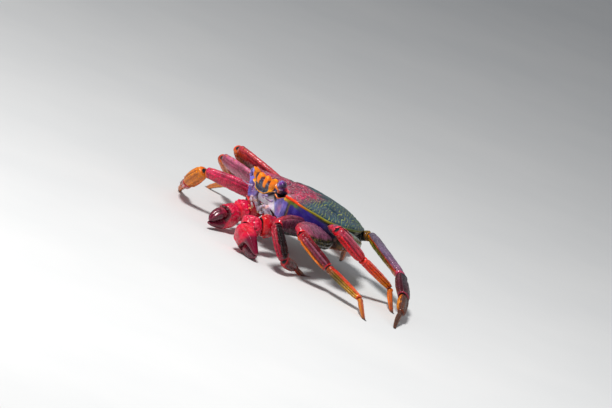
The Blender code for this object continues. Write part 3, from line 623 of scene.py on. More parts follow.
def make_back():
    r = np.concatenate([np.linspace(0.02, 0.78, 84), np.linspace(0.78, 1.0, 54)[1:]])[:, None]
    mx, my, mz, s = ST_M[None, :, 0], ST_M[None, :, 1], ST_M[None, :, 2], ST_S[None, :] + 0 * r
    x, y = mx * r, my * r
    ay = np.abs(y)
    B = np.stack([x, y, 0 * x], -1)
    h = DOME * (1 - r ** 2.6) ** 0.85 * (1 - 0.30 * np.clip((x - 0.02) / 0.40, 0, 1) ** 1.2)
    h = h + 0.012 * bump(x, -0.12, 0.26) * bump(ay, 0.24, 0.17) * (1 - r ** 4)
    h = h - 0.010 * bump(x, 0.02, 0.10) * bump(ay, 0.10, 0.05)
    lobe = 0.0
    for c, w in LOBES:
        cc = c + np.where(y < 0, 0.012, 0.0) * (c > 0.1)
        one = np.exp(-((x - (0.500 if c < 0.1 else 0.484)) / 0.042) ** 2 - (np.abs(ay - cc) / w) ** 3)
        lobe = lobe + one * (1.12 if c > 0.1 else 0.95)
    tall = (0.046 + 0.008 * np.sin(37.0 * y) - 0.020 * ss(-y, 0.10, 0.15)) * lobe
    shove = (0.026 + 0.040 * ss(-y, 0.10, 0.15)) * lobe
    h = h + tall
    h = h - 0.010 * (bump(ay, 0.0, 0.012) + bump(ay, 0.112, 0.008)) * bump(x, 0.490, 0.05)
    # groove behind the brow, regions of the back
    h = h - 0.008 * bump(x - 0.05 * ss(ay, 0.1, 0.3), 0.415, 0.018) * (1 - ss(ay, 0.18, 0.26))
    path = 0.20 - 0.9 * (ay - 0.16)
    h = h - 0.011 * np.exp(-((x - path) / 0.022) ** 2) * ss(ay, 0.10, 0.15) * (1 - ss(ay, 0.36, 0.44))
    h = h - 0.008 * bump(ay, 0.105, 0.016) * ss(x, -0.20, -0.05) * (1 - ss(x, 0.12, 0.22))
    h = h + 0.010 * bump(x, 0.30, 0.07) * bump(ay, 0.085, 0.055) + 0.007 * bump(x, 0.17, 0.07) * bump(ay, 0.0, 0.05)
    h = h + 0.009 * bump(x, -0.12, 0.10) * bump(ay, 0.0, 0.075) + 0.006 * bump(x, -0.31, 0.06) * bump(ay, 0.0, 0.09)
    h = h + 0.007 * bump(x, 0.24, 0.06) * bump(ay, 0.30, 0.05)
    h = h + 0.0035 * fbm(B, 14.0, 3, 3) * (1 - r ** 6)
    wob = noise(B, 17.0, 5)
    fw = crimson_zone(x, ay, wob)
    # long oblique ridges of the rear and sides
    phi = (0.87 * x - 0.50 * ay) / 0.027 + 0.60 * noise(B, 10.0, 9) + 0.42 * noise(B, 26.0, 10)
    fr = phi - np.floor(phi)
    keep = ss(noise(B, 26.0, 12), -0.65, -0.40)
    amt = (1 - 0.85 * fw) * ss(r, 0.16, 0.34) * (1 - ss(r, 0.955, 0.975)) * ss(ay, 0.03, 0.09)
    ridge = np.exp(-((fr - 0.5) / 0.15) ** 2)
    h = h + 0.0030 * ridge * amt * keep
    # scale-like cross rows of the front and middle
    rows = x / 0.021 + 0.55 * noise(B, 34.0, 21) + 0.25 * ay / 0.1
    fr2 = rows - np.floor(rows)
    scale_amt = np.maximum(fw, 0.35 * (1 - ss(ay, 0.05, 0.12))) * ss(noise(B, 75.0, 23), -0.35, 0.15) * (1 - ss(r, 0.95, 0.985))
    h = h + 0.0030 * np.exp(-((fr2 - 0.5) / 0.20) ** 2) * scale_amt
    gran = np.clip(noise(B, 120.0, 31), 0, 1) ** 1.5
    h = h + 0.0022 * gran * fw * (1 - ss(r, 0.975, 0.995))
    # rolled rim
    h = h + 0.0050 * bump(r, 0.989, 0.008) * ss(s, 0.17, 0.20) - 0.0036 * bump(r, 0.968, 0.010) * ss(s, 0.17, 0.20)
    bead = 0.5 + 0.5 * np.cos(s * 2 * np.pi / 0.0052)
    h = h + 0.0018 * bead * bump(r, 0.988, 0.008) * ss(s, 0.19, 0.22) * (1 - ss(s, 0.60, 0.66))
    z = mz * r ** 3 + h
    P = b2wa(x + shove, y, z)
    # colour
    n1, n2, n3 = noise(B, 30.0, 41), noise(B, 80.0, 42), fbm(B, 12.0, 2, 43)
    teal = mixc(C(0.028, 0.090, 0.108), C(0.055, 0.150, 0.165), 0.5 + 0.6 * n1)
    teal = mixc(teal, C(0.055, 0.150, 0.110), ss(-x, 0.10, 0.44) * 0.7)
    teal = mixc(teal, C(0.030, 0.070, 0.140), bump(ay, 0.40, 0.10) * 0.5)
    red = mixc(C(0.34, 0.020, 0.085), C(0.62, 0.035, 0.13), 0.5 + 0.7 * n1)
    red = mixc(red, C(0.055, 0.040, 0.085), ss(n2 + 0.5 * n3, 0.05, 0.45) * 0.80)
    red = mixc(red, C(0.52, 0.030, 0.060), ss(r, 0.86, 0.96) * ss(s, 0.24, 0.30) * 0.75)
    col = mixc(teal, red, fw)
    col = mixc(col, C(0.80, 0.24, 0.36), np.exp(-((fr2 - 0.5) / 0.12) ** 2) * scale_amt * fw * 0.55)
    near = np.exp(-((x - 0.440) / 0.042) ** 2 - ((ay - 0.330) / 0.050) ** 2) + 0.5 * np.exp(-((x - 0.400) / 0.050) ** 2 - ((ay - 0.20) / 0.07) ** 2)
    dots = ss(noise(B, 105.0, 44), 0.02, 0.26)
    col = mixc(col, mixc(C(0.90, 0.52, 0.66), C(0.66, 0.86, 0.80), ss(noise(B, 34.0, 45), -0.1, 0.3) * ss(ay, 0.24, 0.30)), np.clip(near, 0, 1) * dots * 0.70)
    col = mixc(col, C(0.10, 0.13, 0.10), np.exp(-((fr2 - 0.5) / 0.14) ** 2) * scale_amt * (1 - fw) * 0.3)
    # painted shade: dark band along one side of each raised scale row
    col = mixc(col, C(0.020, 0.035, 0.050), bump(fr2, 0.02, 0.10) * scale_amt * 0.45)
    # rim line
    edge = ss(r, 0.986 + 0.006 * ss(s, 0.34, 0.42), 0.991 + 0.006 * ss(s, 0.34, 0.42))
    rimc = mixc(C(0.85, 0.085, 0.012), C(0.40, 0.38, 0.030), ss(s, 0.36, 0.46))
    rimc = mixc(rimc, C(0.20, 0.24, 0.05), ss(s, 0.52, 0.64))
    rimc = mixc(rimc, C(0.055, 0.062, 0.025), ss(s, 0.76, 0.84))
    col = mixc(col, rimc, edge * ss(s, 0.285, 0.30))
    col = mixc(col, C(0.012, 0.022, 0.028), bump(r, 0.968, 0.009) * ss(s, 0.32, 0.36) * 0.7)
    # brow lobes
    lm = np.clip(lobe * 1.25, 0, 1) * ss(x, 0.445, 0.480)
    lob_c = mixc(C(0.93, 0.26, 0.004), C(0.98, 0.42, 0.008), ss(r, 0.95, 1.0))
    col = mixc(col, C(0.045, 0.035, 0.065), ss(x, 0.462, 0.488) * (1 - ss(s, 0.15, 0.18)) * 0.8)
    lob_c = mixc(lob_c, C(0.55, 0.09, 0.03), ss(n2, 0.0, 0.6) * 0.35)
    col = mixc(col, lob_c, ss(lm, 0.28, 0.62))
    # inner corner of the eye socket: painted shade, near-black in the recess
    col = mixc(col, C(0.010, 0.008, 0.012), bump(s, 0.1705, 0.0045) * ss(r, 0.965, 0.98))
    col = mixc(col, C(0.95, 0.25, 0.006), bump(s, 0.1815, 0.0075) * ss(r, 0.955, 0.975))
    col = mixc(col, C(0.72, 0.07, 0.09), bump(s, 0.262, 0.030) * ss(r, 0.955, 0.98) * 0.8)
    msk = np.stack([0.95 * fw * (1 - ss(lm, 0.2, 0.5)) + 0.16 * (1 - fw), 0.55 + 0.25 * n3, 0 * x, 1.0 + 0 * x], -1)
    msk[..., 1] *= (1 - ss(lm, 0.2, 0.5) * 0.8) * (1 - edge)
    msk[..., 0] *= (1 - edge)
    ext = np.stack([phi, np.clip(amt * (0.4 + 0.6 * keep), 0, 1) * (1 - edge), 0 * x], -1)
    # under side of the plate, tucked inside the wall
    un = []
    for q, dz, lw in ((0.006, 0.010, 0.9), (0.020, 0.020, 0.5), (0.050, 0.026, 0.0)):
        un.append(b2wa(ST_M[:, 0] * (1 - q) + shove[-1] * lw, ST_M[:, 1] * (1 - q), ST_M[:, 2] - dz + tall[-1] * lw * 0.9))
    for q in (0.80, 0.60, 0.40, 0.20):
        rr = q
        zz = ST_M[:, 2] * rr ** 3 + DOME * (1 - rr ** 2.6) ** 0.85 * 0.62 - 0.030
        un.append(b2wa(ST_M[:, 0] * q, ST_M[:, 1] * q, zz))
    un = np.stack(un)
    k = len(un)
    Pf = np.concatenate([P, un])
    pad = lambda A, v: np.concatenate([A, np.broadcast_to(np.asarray(v, float), (k,) + A.shape[1:])])
    colf = np.concatenate([col, np.repeat(col[-1:], 2, 0), np.broadcast_to(C(0.18, 0.14, 0.16), (k - 2,) + col.shape[1:])])
    v, q, t = closed_tube(Pf, b2w((0, 0, DOME + 0.008)), b2w((0, 0, DOME * 0.62 - 0.030)))
    sk = Skin()
    sk.add(v, q, t, with_poles(colf), with_poles(pad(msk, (0, 0.2, 0, 0.6))), with_poles(np.concatenate([P, un])), ext=with_poles(pad(ext, (0, 0, 0))))
    return sk.make("carapace_back", "carapace", M_BACK)


def smooth_rows(A, n=2):
    for _ in range(n):
        A[1:-1] = (A[:-2] + 2 * A[1:-1] + A[2:]) / 4
    return A


def make_wall():
    s = ST_S
    T = np.concatenate([np.linspace(0, 0.60, 44), np.linspace(0.60, 1.0, 18)[1:]])
    w0, w1, w2, w3, mz = ST_W[:, 0], ST_W[:, 1], ST_W[:, 2], ST_W[:, 3], ST_M[:, 2]

    def path(knots, vals):
        knots = np.asarray(knots)
        out = np.zeros((len(T), len(s)))
        for i, tv in enumerate(T):
            j = min(int(np.searchsorted(knots, tv, side="right") - 1), len(knots) - 2)
            f = (tv - knots[j]) / (knots[j + 1] - knots[j])
            out[i] = vals[j] * (1 - f) + vals[j + 1] * f
        return out

    zero = np.zeros(len(s))
    q = path((0, 0.2, 0.5, 1.0), (zero + 0.010, 0.22 * w0 + 0.004, w0, w1))
    z = path((0, 0.2, 0.5, 1.0), (mz - 0.004, mz * 0.65 - 0.40 * w2, -w2, -w3))
    q, z = smooth_rows(q, 6), smooth_rows(z, 6)
    tt = T[:, None]
    sc = 0.168 - 0.026 * ss(tt, 0.52, 0.60) + 0.066 * ss(tt, 0.60, 1.0)
    fro = 1 - ss(s[None], sc - 0.018, sc + 0.018)
    qf = path((0, 0.12, 0.36, 0.47, 0.50, 0.54, 0.62, 1.0),
              (zero + 0.010, zero - 0.002, zero + 0.032, zero + 0.020, zero + 0.004, zero + 0.040, zero + 0.135, zero + 0.150))
    zf = path((0, 0.12, 0.36, 0.47, 0.50, 0.54, 0.62, 1.0),
              (mz - 0.004, mz * 0.65 - 0.25 * w2, mz * 0.2 - 0.70 * w2, -0.96 * w2, -w2, -w2 - 0.006, -w2 + 0.004, -w3))
    qf, zf = smooth_rows(qf, 2), smooth_rows(zf, 2)
    q = q * (1 - fro) + qf * fro
    z = z * (1 - fro) + zf * fro
    t = T[:, None] + 0 * s[None]
    S = s[None] + 0 * t
    ay = np.abs(ST_M[None, :, 1] + 0 * t)
    # hanging brow lobes on the plate
    wedge = 0.0
    for c, w in LOBES:
        far = np.where(ST_M[None, :, 1] < 0, 0.62, 0.50) if c > 0.1 else 0.30
        c = c + np.where(ST_M[None, :, 1] < 0, 0.012, 0.0) * (c > 0.1)
        wedge = wedge + np.exp(-(np.abs(ay - c + 0.03 * t * (np.max(c) > 0.1)) / (w * (1.05 - 0.45 * np.clip(t / far, 0, 1)))) ** 4) * (1 - ss(t, far - 0.09, far))
    wedge = wedge * (1 - ss(s, 0.186, 0.202))
    out = 0.050 * ss(-ST_M[None, :, 1], 0.10, 0.15)
    q = q - (0.040 + out - (0.022 + 0.3 * out) * ss(t, 0.0, 0.45)) * wedge
    z = z + 0.040 * wedge * (1 - ss(t, 0.0, 0.22))
    q = q + 0.012 * fro * (bump(ay, 0.0, 0.012) + bump(ay, 0.112, 0.009)) * (1 - ss(t, 0.28, 0.40))
    # eye socket
    orb = ss(S, 0.182, 0.200) * (1 - ss(S, 0.284, 0.299))
    tl = 0.560 - 0.375 * ss(S, 0.195, 0.300)      # the ridge under the eye climbs toward the outer tooth
    cav = orb * ss(t, 0.03, 0.10) * (1 - ss(t, tl - 0.11, tl - 0.02))
    q = q + 0.23 * cav
    # ridge under the eye, with beads
    bead = 0.5 + 0.5 * np.cos(S * 2 * np.pi / 0.0062)
    low = bump(t, tl, 0.024) * ss(S, 0.158, 0.168) * (1 - ss(S, 0.296, 0.312))
    q = q - (0.020 + 0.007 * bead) * low
    # grooves of the cheek
    gr = bump(S, 0.326, 0.0055) * ss(t, 0.10, 0.20)
    gr2 = bump(S, sc + 0.003, 0.006) * ss(t, 0.52, 0.58)
    q = q + 0.012 * gr + 0.026 * gr2
    q = q - 0.014 * bump(S, 0.262, 0.045) * bump(t, 0.78, 0.20) - 0.012 * bump(S, 0.42, 0.09) * bump(t, 0.55, 0.25)
    B = np.stack([ST_M[None, :, 0] * (1 - q), ST_M[None, :, 1] * (1 - q), z], -1)
    q = q - 0.0030 * fbm(B, 20.0, 3, 60) * ss(t, 0.05, 0.2) * (1 - fro)
    # fine slanting ribs on the cheek
    rib = B[..., 0] / 0.016 + B[..., 2] / 0.040 + 0.4 * noise(B, 30.0, 61)
    q = q - 0.0026 * np.exp(-(((rib - np.floor(rib)) - 0.5) / 0.22) ** 2) * ss(S, 0.20, 0.24) * ss(t, 0.52, 0.62) * (1 - 0.6 * ss(S, 0.32, 0.34))
    x, y = ST_M[None, :, 0] * (1 - q), ST_M[None, :, 1] * (1 - q)
    z = z - 0.006 * gr
    P = b2wa(x, y, z)
    B = np.stack([x, y, z], -1)
    n1, n2 = noise(B, 26.0, 71), noise(B, 90.0, 72)
    # colours by place round the shell
    violet = mixc(C(0.042, 0.022, 0.29), C(0.070, 0.045, 0.36), 0.5 + 0.6 * n1)
    violet = mixc(violet, C(0.040, 0.060, 0.24), ss(t, 0.70, 0.95) * 0.8)
    lav = mixc(C(0.22, 0.21, 0.74), C(0.38, 0.34, 0.84), 0.5 + 0.6 * n1)
    lav = mixc(lav, C(0.56, 0.18, 0.36), bump(S, 0.245, 0.024) * bump(t, 0.74, 0.14) * 0.9)
    lav = mixc(lav, C(0.20, 0.16, 0.55), ss(n2, 0.1, 0.7) * 0.35)
    lav = mixc(lav, C(0.48, 0.46, 0.90), (1 - ss(S, 0.18, 0.26)) * 0.8)
    col = mixc(lav, violet, ss(S, 0.322, 0.330))
    olive = mixc(C(0.72, 0.50, 0.010), C(0.13, 0.20, 0.008), ss(S, 0.302, 0.335) + 0.25 * ss(t, 0.1, 0.3))
    olive = mixc(olive, C(0.05, 0.11, 0.012), ss(S, 0.345, 0.40) * 0.8)
    col = mixc(col, olive, (1 - ss(t + 0.05 * n2, 0.17, 0.29)) * ss(S, 0.27, 0.29) * (1 - ss(S, 0.365, 0.425)) * 0.97)
    rear = mixc(C(0.030, 0.040, 0.030), C(0.110, 0.105, 0.045), 0.5 + 0.7 * n1)
    col = mixc(col, C(0.035, 0.020, 0.11), ss(S, 0.50, 0.60))
    col = mixc(col, rear, ss(S, 0.58, 0.70))
    # painted shade: lower wall above the leg bases darkened
    col = mixc(col, C(0.012, 0.016, 0.014), ss(t, 0.85, 1.0) * ss(S, 0.33, 0.5) * 0.7)
    col = mixc(col, C(0.24, 0.23, 0.010), bump(S, 0.3265, 0.0042) * ss(t, 0.10, 0.2) * 0.9)
    col = mixc(col, C(0.018, 0.024, 0.004), bump(S, 0.3215, 0.0024) * ss(t, 0.2, 0.3) * 0.7)
    col = mixc(col, C(0.55, 0.20, 0.02), bump(S, 0.3295, 0.0028) * ss(t, 0.45, 0.6) * (1 - ss(t, 0.75, 0.9)) * 0.7)
    # just under the rim: line continues
    up_l = 1 - ss(t, 0.004, 0.018 - 0.009 * ss(S, 0.34, 0.42))
    rimc = mixc(C(0.85, 0.085, 0.012), C(0.40, 0.38, 0.030), ss(S, 0.36, 0.46))
    rimc = mixc(rimc, C(0.14, 0.17, 0.04), ss(S, 0.52, 0.64))
    rimc = mixc(rimc, C(0.05, 0.06, 0.025), ss(S, 0.76, 0.84))
    col = mixc(col, C(0.020, 0.030, 0.018), (1 - ss(t, 0.10, 0.22)) * ss(S, 0.44, 0.52) * 0.9)
    col = mixc(col, rimc, up_l * ss(S, 0.285, 0.30))
    # socket, painted near-black as shade in the cavity, and its lower ridge
    col = mixc(col, C(0.006, 0.007, 0.010), np.clip(orb * ss(t, 0.03, 0.07) * (1 - ss(t, tl - 0.055, tl - 0.03)), 0, 1))
    col = mixc(col, mixc(C(0.93, 0.26, 0.006), C(0.85, 0.48, 0.02), ss(S, 0.22, 0.26)), ss(low, 0.25, 0.6))
    # painted shade: near-black pit under the brow plate
    col = mixc(col, C(0.008, 0.006, 0.010), fro * 0 + ss(S, 0.085, 0.11) * (1 - ss(S, 0.185, 0.205)) * ss(t, 0.545, 0.56) * (1 - ss(t, 0.66, 0.74)))
    # brow plate
    slate = mixc(C(0.035, 0.060, 0.092), C(0.12, 0.155, 0.21), 0.45 + 0.8 * n1)
    slate = mixc(slate, C(0.020, 0.028, 0.050), bump(t, 0.40, 0.05) * 0.6)
    # pale patches, partly the plate's mottling and partly painted highlight
    slate = mixc(slate, C(0.42, 0.42, 0.50), ss(n2, 0.25, 0.6) * 0.55)
    slate = mixc(slate, C(0.16, 0.05, 0.14), ss(-n2, 0.25, 0.6) * 0.5)
    plate = slate
    plate = mixc(plate, mixc(C(0.93, 0.27, 0.004), C(0.96, 0.44, 0.010), ss(t, 0.05, 0.4)), ss(wedge, 0.30, 0.60))
    plate = mixc(plate, C(0.93, 0.46, 0.012), ss(t, 0.462, 0.476) * (1 - ss(t, 0.515, 0.528)))
    # painted shade: near-black groove under the plate's yellow rim
    plate = mixc(plate, C(0.018, 0.014, 0.026), ss(t, 0.526, 0.540))
    plate = mixc(plate, C(0.96, 0.95, 1.0), ss(t, 0.62, 0.72) * 0.96)
    col = mixc(col, plate, fro)
    # painted shade: near-black gap under the eye and in the socket's inner corner
    gap = ss(S, 0.162, 0.169) * (1 - ss(S, 0.24, 0.27)) * ss(t, 0.40, 0.45) * (1 - ss(t, tl - 0.035, tl - 0.015))
    col = mixc(col, C(0.010, 0.008, 0.012), np.clip(gap, 0, 1))
    col = mixc(col, C(0.010, 0.008, 0.012), bump(S, 0.1715, 0.0050) * ss(t, 0.04, 0.10) * (1 - ss(t, 0.52, 0.56)))
    col = mixc(col, C(0.95, 0.25, 0.006), bump(S, 0.1815, 0.0065) * (1 - ss(t, 0.40, 0.46)))
    col = mixc(col, mixc(C(0.93, 0.26, 0.006), C(0.85, 0.48, 0.02), ss(S, 0.22, 0.26)), ss(low, 0.30, 0.6))
    # painted shade: near-black down the deep groove where the front meets the cheek
    col = mixc(col, C(0.010, 0.008, 0.014), np.clip(gr2 * 1.4, 0, 1))
    msk = np.stack([0.30 + 0 * t, 0.45 + 0 * t, 0 * t, (1.0 - 0.4 * cav) * (1 - 0.7 * ss(S, 0.50, 0.62))], -1)
    msk[..., 0] *= (1 - fro * (wedge > 0.3)) * (1 - ss(low, 0.2, 0.5))
    msk[..., 1] = np.where(fro > 0.5, 0.55 * (1 - 0.6 * ss(t, 0.62, 0.72)) * (1 - ss(wedge, 0.2, 0.5)), msk[..., 1] * (1 - ss(low, 0.2, 0.5))) * (1 - up_l)
    foot = []
    for kx, kz in ((0.96, 0.10), (0.80, 0.35), (0.55, 0.55), (0.30, 0.80), (0.12, 0.95)):
        zz = -(ST_W[:, 3]) * (1 - kz) - 0.15 * kz
        foot.append(b2wa(ST_M[:, 0] * (1 - w1) * kx, ST_M[:, 1] * (1 - w1) * kx, zz))
    top = []
    for kx in (0.30, 0.60, 0.85):
        top.append(b2wa(ST_M[:, 0] * (0.985 * kx), ST_M[:, 1] * (0.985 * kx), mz * 0 - 0.012 + 0.008 * (1 - kx)))
    top, foot = np.stack(top), np.stack(foot)
    Pf = np.concatenate([top, P, foot])
    cc = lambda A, v: np.concatenate([np.broadcast_to(np.asarray(v, float), (3,) + A.shape[1:]), A, np.broadcast_to(np.asarray(v, float), (5,) + A.shape[1:])])
    v, qd, tr = closed_tube(Pf, b2w((0, 0, -0.004)), b2w((0, 0, -0.15)))
    sk = Skin()
    sk.add(v, qd, tr, with_poles(cc(col, (0.10, 0.07, 0.10))), with_poles(cc(msk, (0, 0.3, 0, 0.5))), v)
    # hair fringe under the cheek and short bristles on the ridge below the eye
    rng = np.random.default_rng(11)
    sel = [(i, j) for i in range(40, 60, 2) for j in range(len(s)) if 0.20 < s[j] < 0.33 and rng.random() < 0.34]
    ii, jj = np.array([a for a, _ in sel]), np.array([b for _, b in sel])
    N = normals(P)
    d = N[ii, jj] + b2d((0.25, 0, -0.75)) + rng.normal(0, 0.14, (len(ii), 3))
    spines(sk, P[ii, jj], d, rng.uniform(0.007, 0.012, len(ii)), 0.00085, C(0.30, 0.26, 0.48), C(0.55, 0.50, 0.70), sides=3, mi=1)
    return sk.make("carapace_side", "carapace", [M_SIDE, M_HORN])


make_back()
make_wall()


# ---- walking legs -------------------------------------------------------
LEGS = {
    "leg2_l": ((0.368, -0.169, 0.322), (0.701, -0.644, 0.350), (0.895, -0.565, 0.122), (0.756, -0.376, 0.062), (0.684, -0.215, 0.0)),
    "leg3_l": ((0.400, 0.040, 0.288), (0.892, -0.516, 0.370), (1.067, -0.254, 0.192), (1.446, -0.100, 0.097), (1.673, -0.137, 0.0)),
    "leg4_l": ((0.345, 0.305, 0.290), (0.921, -0.232, 0.486), (0.934, 0.070, 0.311), (0.911, 0.436, 0.133), (1.165, 0.385, 0.0)),
    "leg5_l": ((0.262, 0.468, 0.376), (0.912, 0.497, 0.247), (1.180, 0.435, 0.134), (1.495, 0.269, 0.085), (1.678, 0.160, 0.0)),
    "leg2_r": ((-0.362, -0.155, 0.309), (-0.640, -0.705, 0.350), (-0.850, -0.700, 0.177), (-1.130, -0.580, 0.088), (-1.310, -0.500, 0.0)),
    "leg3_r": ((-0.400, -0.001, 0.290), (-0.970, -0.416, 0.433), (-1.143, -0.155, 0.254), (-1.512, -0.012, 0.114), (-1.733, -0.037, 0.0)),
    "leg4_r": ((-0.365, 0.235, 0.300), (-0.908, -0.342, 0.558), (-1.060, -0.080, 0.350), (-1.330, 0.170, 0.150), (-1.500, 0.260, 0.0)),
    "leg5_r": ((-0.262, 0.468, 0.372), (-0.869, 0.630, 0.244), (-0.760, 0.880, 0.150), (-0.480, 0.700, 0.072), (-0.300, 0.600, 0.0))}
EDGE = {"leg2_l": (0.160, -0.365, 1.035), "leg3_l": (-0.600, -0.520, 0.600), "leg4_l": (-0.572, -0.810, 0.060),
        "leg5_l": (0.100, -0.820, 0.550), "leg2_r": (0.780, -0.490, 0.985), "leg3_r": (0.560, -0.560, 0.610),
        "leg4_r": (0.500, -0.640, 0.580), "leg5_r": (0.050, -0.760, 0.640)}
COXA = {"leg2": (0.105, 0.250, -0.185), "leg3": (-0.040, 0.285, -0.195), "leg4": (-0.215, 0.250, -0.178), "leg5": (-0.385, 0.165, -0.090)}
BROAD = {"leg2": 0.75, "leg3": 1.08, "leg4": 1.06, "leg5": 0.88}
SHANK = {"leg2": 1.02, "leg3": 1.0, "leg4": 1.0, "leg5": 1.08}
MERUS = [(0.0, 0.042, 0.042, 0.036), (0.14, 0.068, 0.072, 0.042), (0.36, 0.104, 0.100, 0.044), (0.60, 0.110, 0.096, 0.042),
         (0.82, 0.090, 0.080, 0.040), (1.0, 0.062, 0.060, 0.036)]
CARPUS = [(0.0, 0.048, 0.043, 0.037), (0.2, 0.062, 0.052, 0.043), (0.6, 0.070, 0.058, 0.046), (0.88, 0.060, 0.052, 0.041), (1.0, 0.050, 0.045, 0.037)]
PROPODUS = [(0.0, 0.041, 0.038, 0.031), (0.2, 0.046, 0.041, 0.033), (0.55, 0.046, 0.041, 0.032), (0.9, 0.036, 0.034, 0.026), (1.0, 0.028, 0.028, 0.022)]
DACTYL = [(0.0, 0.021, 0.021, 0.017), (0.2, 0.025, 0.022, 0.019), (0.6, 0.019, 0.017, 0.015), (0.9, 0.0115, 0.0115, 0.010), (1.0, 0.0085, 0.0085, 0.008)]
BASE = [(0.0, 0.070, 0.066, 0.050), (0.3, 0.066, 0.062, 0.050), (0.55, 0.046, 0.046, 0.042), (0.8, 0.050, 0.050, 0.042), (1.0, 0.040, 0.040, 0.036)]


def scaled(rows, k, kt=1.0):
    return [(r[0], r[1] * k, r[2] * k, r[3] * kt) for r in rows]


def stops(u, rows):
    u = np.asarray(u, float)
    if len(rows) == 3 and np.isscalar(rows[0]):
        return np.broadcast_to(np.asarray(rows, float), u.shape + (3,))
    x = np.array([r[0] for r in rows])
    c = np.array([r[1] for r in rows])
    return np.stack([np.interp(u, x, c[:, i]) for i in range(3)], -1)


def side_paint(g, sg, spec, ewid=(0.50, 0.90), fwid=(0.45, 0.90)):
    """Colour from the edge (E), opposite edge (F), front face (A) and rear face (P)."""
    an = np.arctan2(g.ST * sg, g.CE) - spec.get("turn", 0.0)
    tp, ce = np.sin(an), np.cos(an)
    A, P_ = stops(g.U, spec["A"]), stops(g.U, spec["P"])
    w = ss(tp + spec.get("wob", 0.22) * noise(g.P, 19.0, 201), -0.20, 0.20)
    col = P_ * (1 - w[..., None]) + A * w[..., None]
    if "F" in spec:
        wf = ss(-ce + 0.12 * noise(g.P, 25.0, 203), *spec.get("fwid", fwid))[..., None]
        col = col * (1 - wf) + stops(g.U, spec["F"]) * wf
    if "E" in spec:
        we = ss(ce + spec.get("ewob", 0.08) * noise(g.P, 25.0, 202), *spec.get("ewid", ewid))[..., None]
        col = col * (1 - we) + stops(g.U, spec["E"]) * we
    return col


def finish_paint(g, col, spec, fleck=0.6, dark=0.5, stripe=0.4):
    """Adds socket rim and hollow, and returns colour and mask grids."""
    rim = np.asarray(spec.get("rim", (0.55, 0.04, 0.07)), float)
    hollow = np.asarray(spec.get("hollow", (0.018, 0.050, 0.054)), float)
    n = noise(g.P, 60.0, 210)
    col = mixc(col, rim, np.clip(g.lip * 1.5, 0, 1))
    col = mixc(col, mixc(hollow, hollow * 2.2, 0.5 + 0.6 * n), g.cup)
    fleck = fleck * (0.25 + 0.75 * ss(col.max(-1), 0.05, 0.22))
    msk = np.stack([fleck * (1 - g.cup), dark * (1 - np.clip(g.lip, 0, 1) * 0.6), stripe * (1 - g.cup) * (1 - np.clip(g.lip * 1.3, 0, 1)),
                    1 - 0.35 * g.cup], -1)
    return col, msk


def root_band(g, col, msk, width, colour=(0.016, 0.046, 0.050), edge=(0.5, 0.03, 0.06)):
    w = 1 - ss(g.U, width * 0.72, width)
    col = mixc(col, C(*edge), bump(g.U, width * 1.45, width * 0.5) * 0.8)
    col = mixc(col, C(*colour), w)
    msk = msk.copy()
    msk[..., 0] *= 1 - w
    msk[..., 2] *= 1 - w
    return col, msk


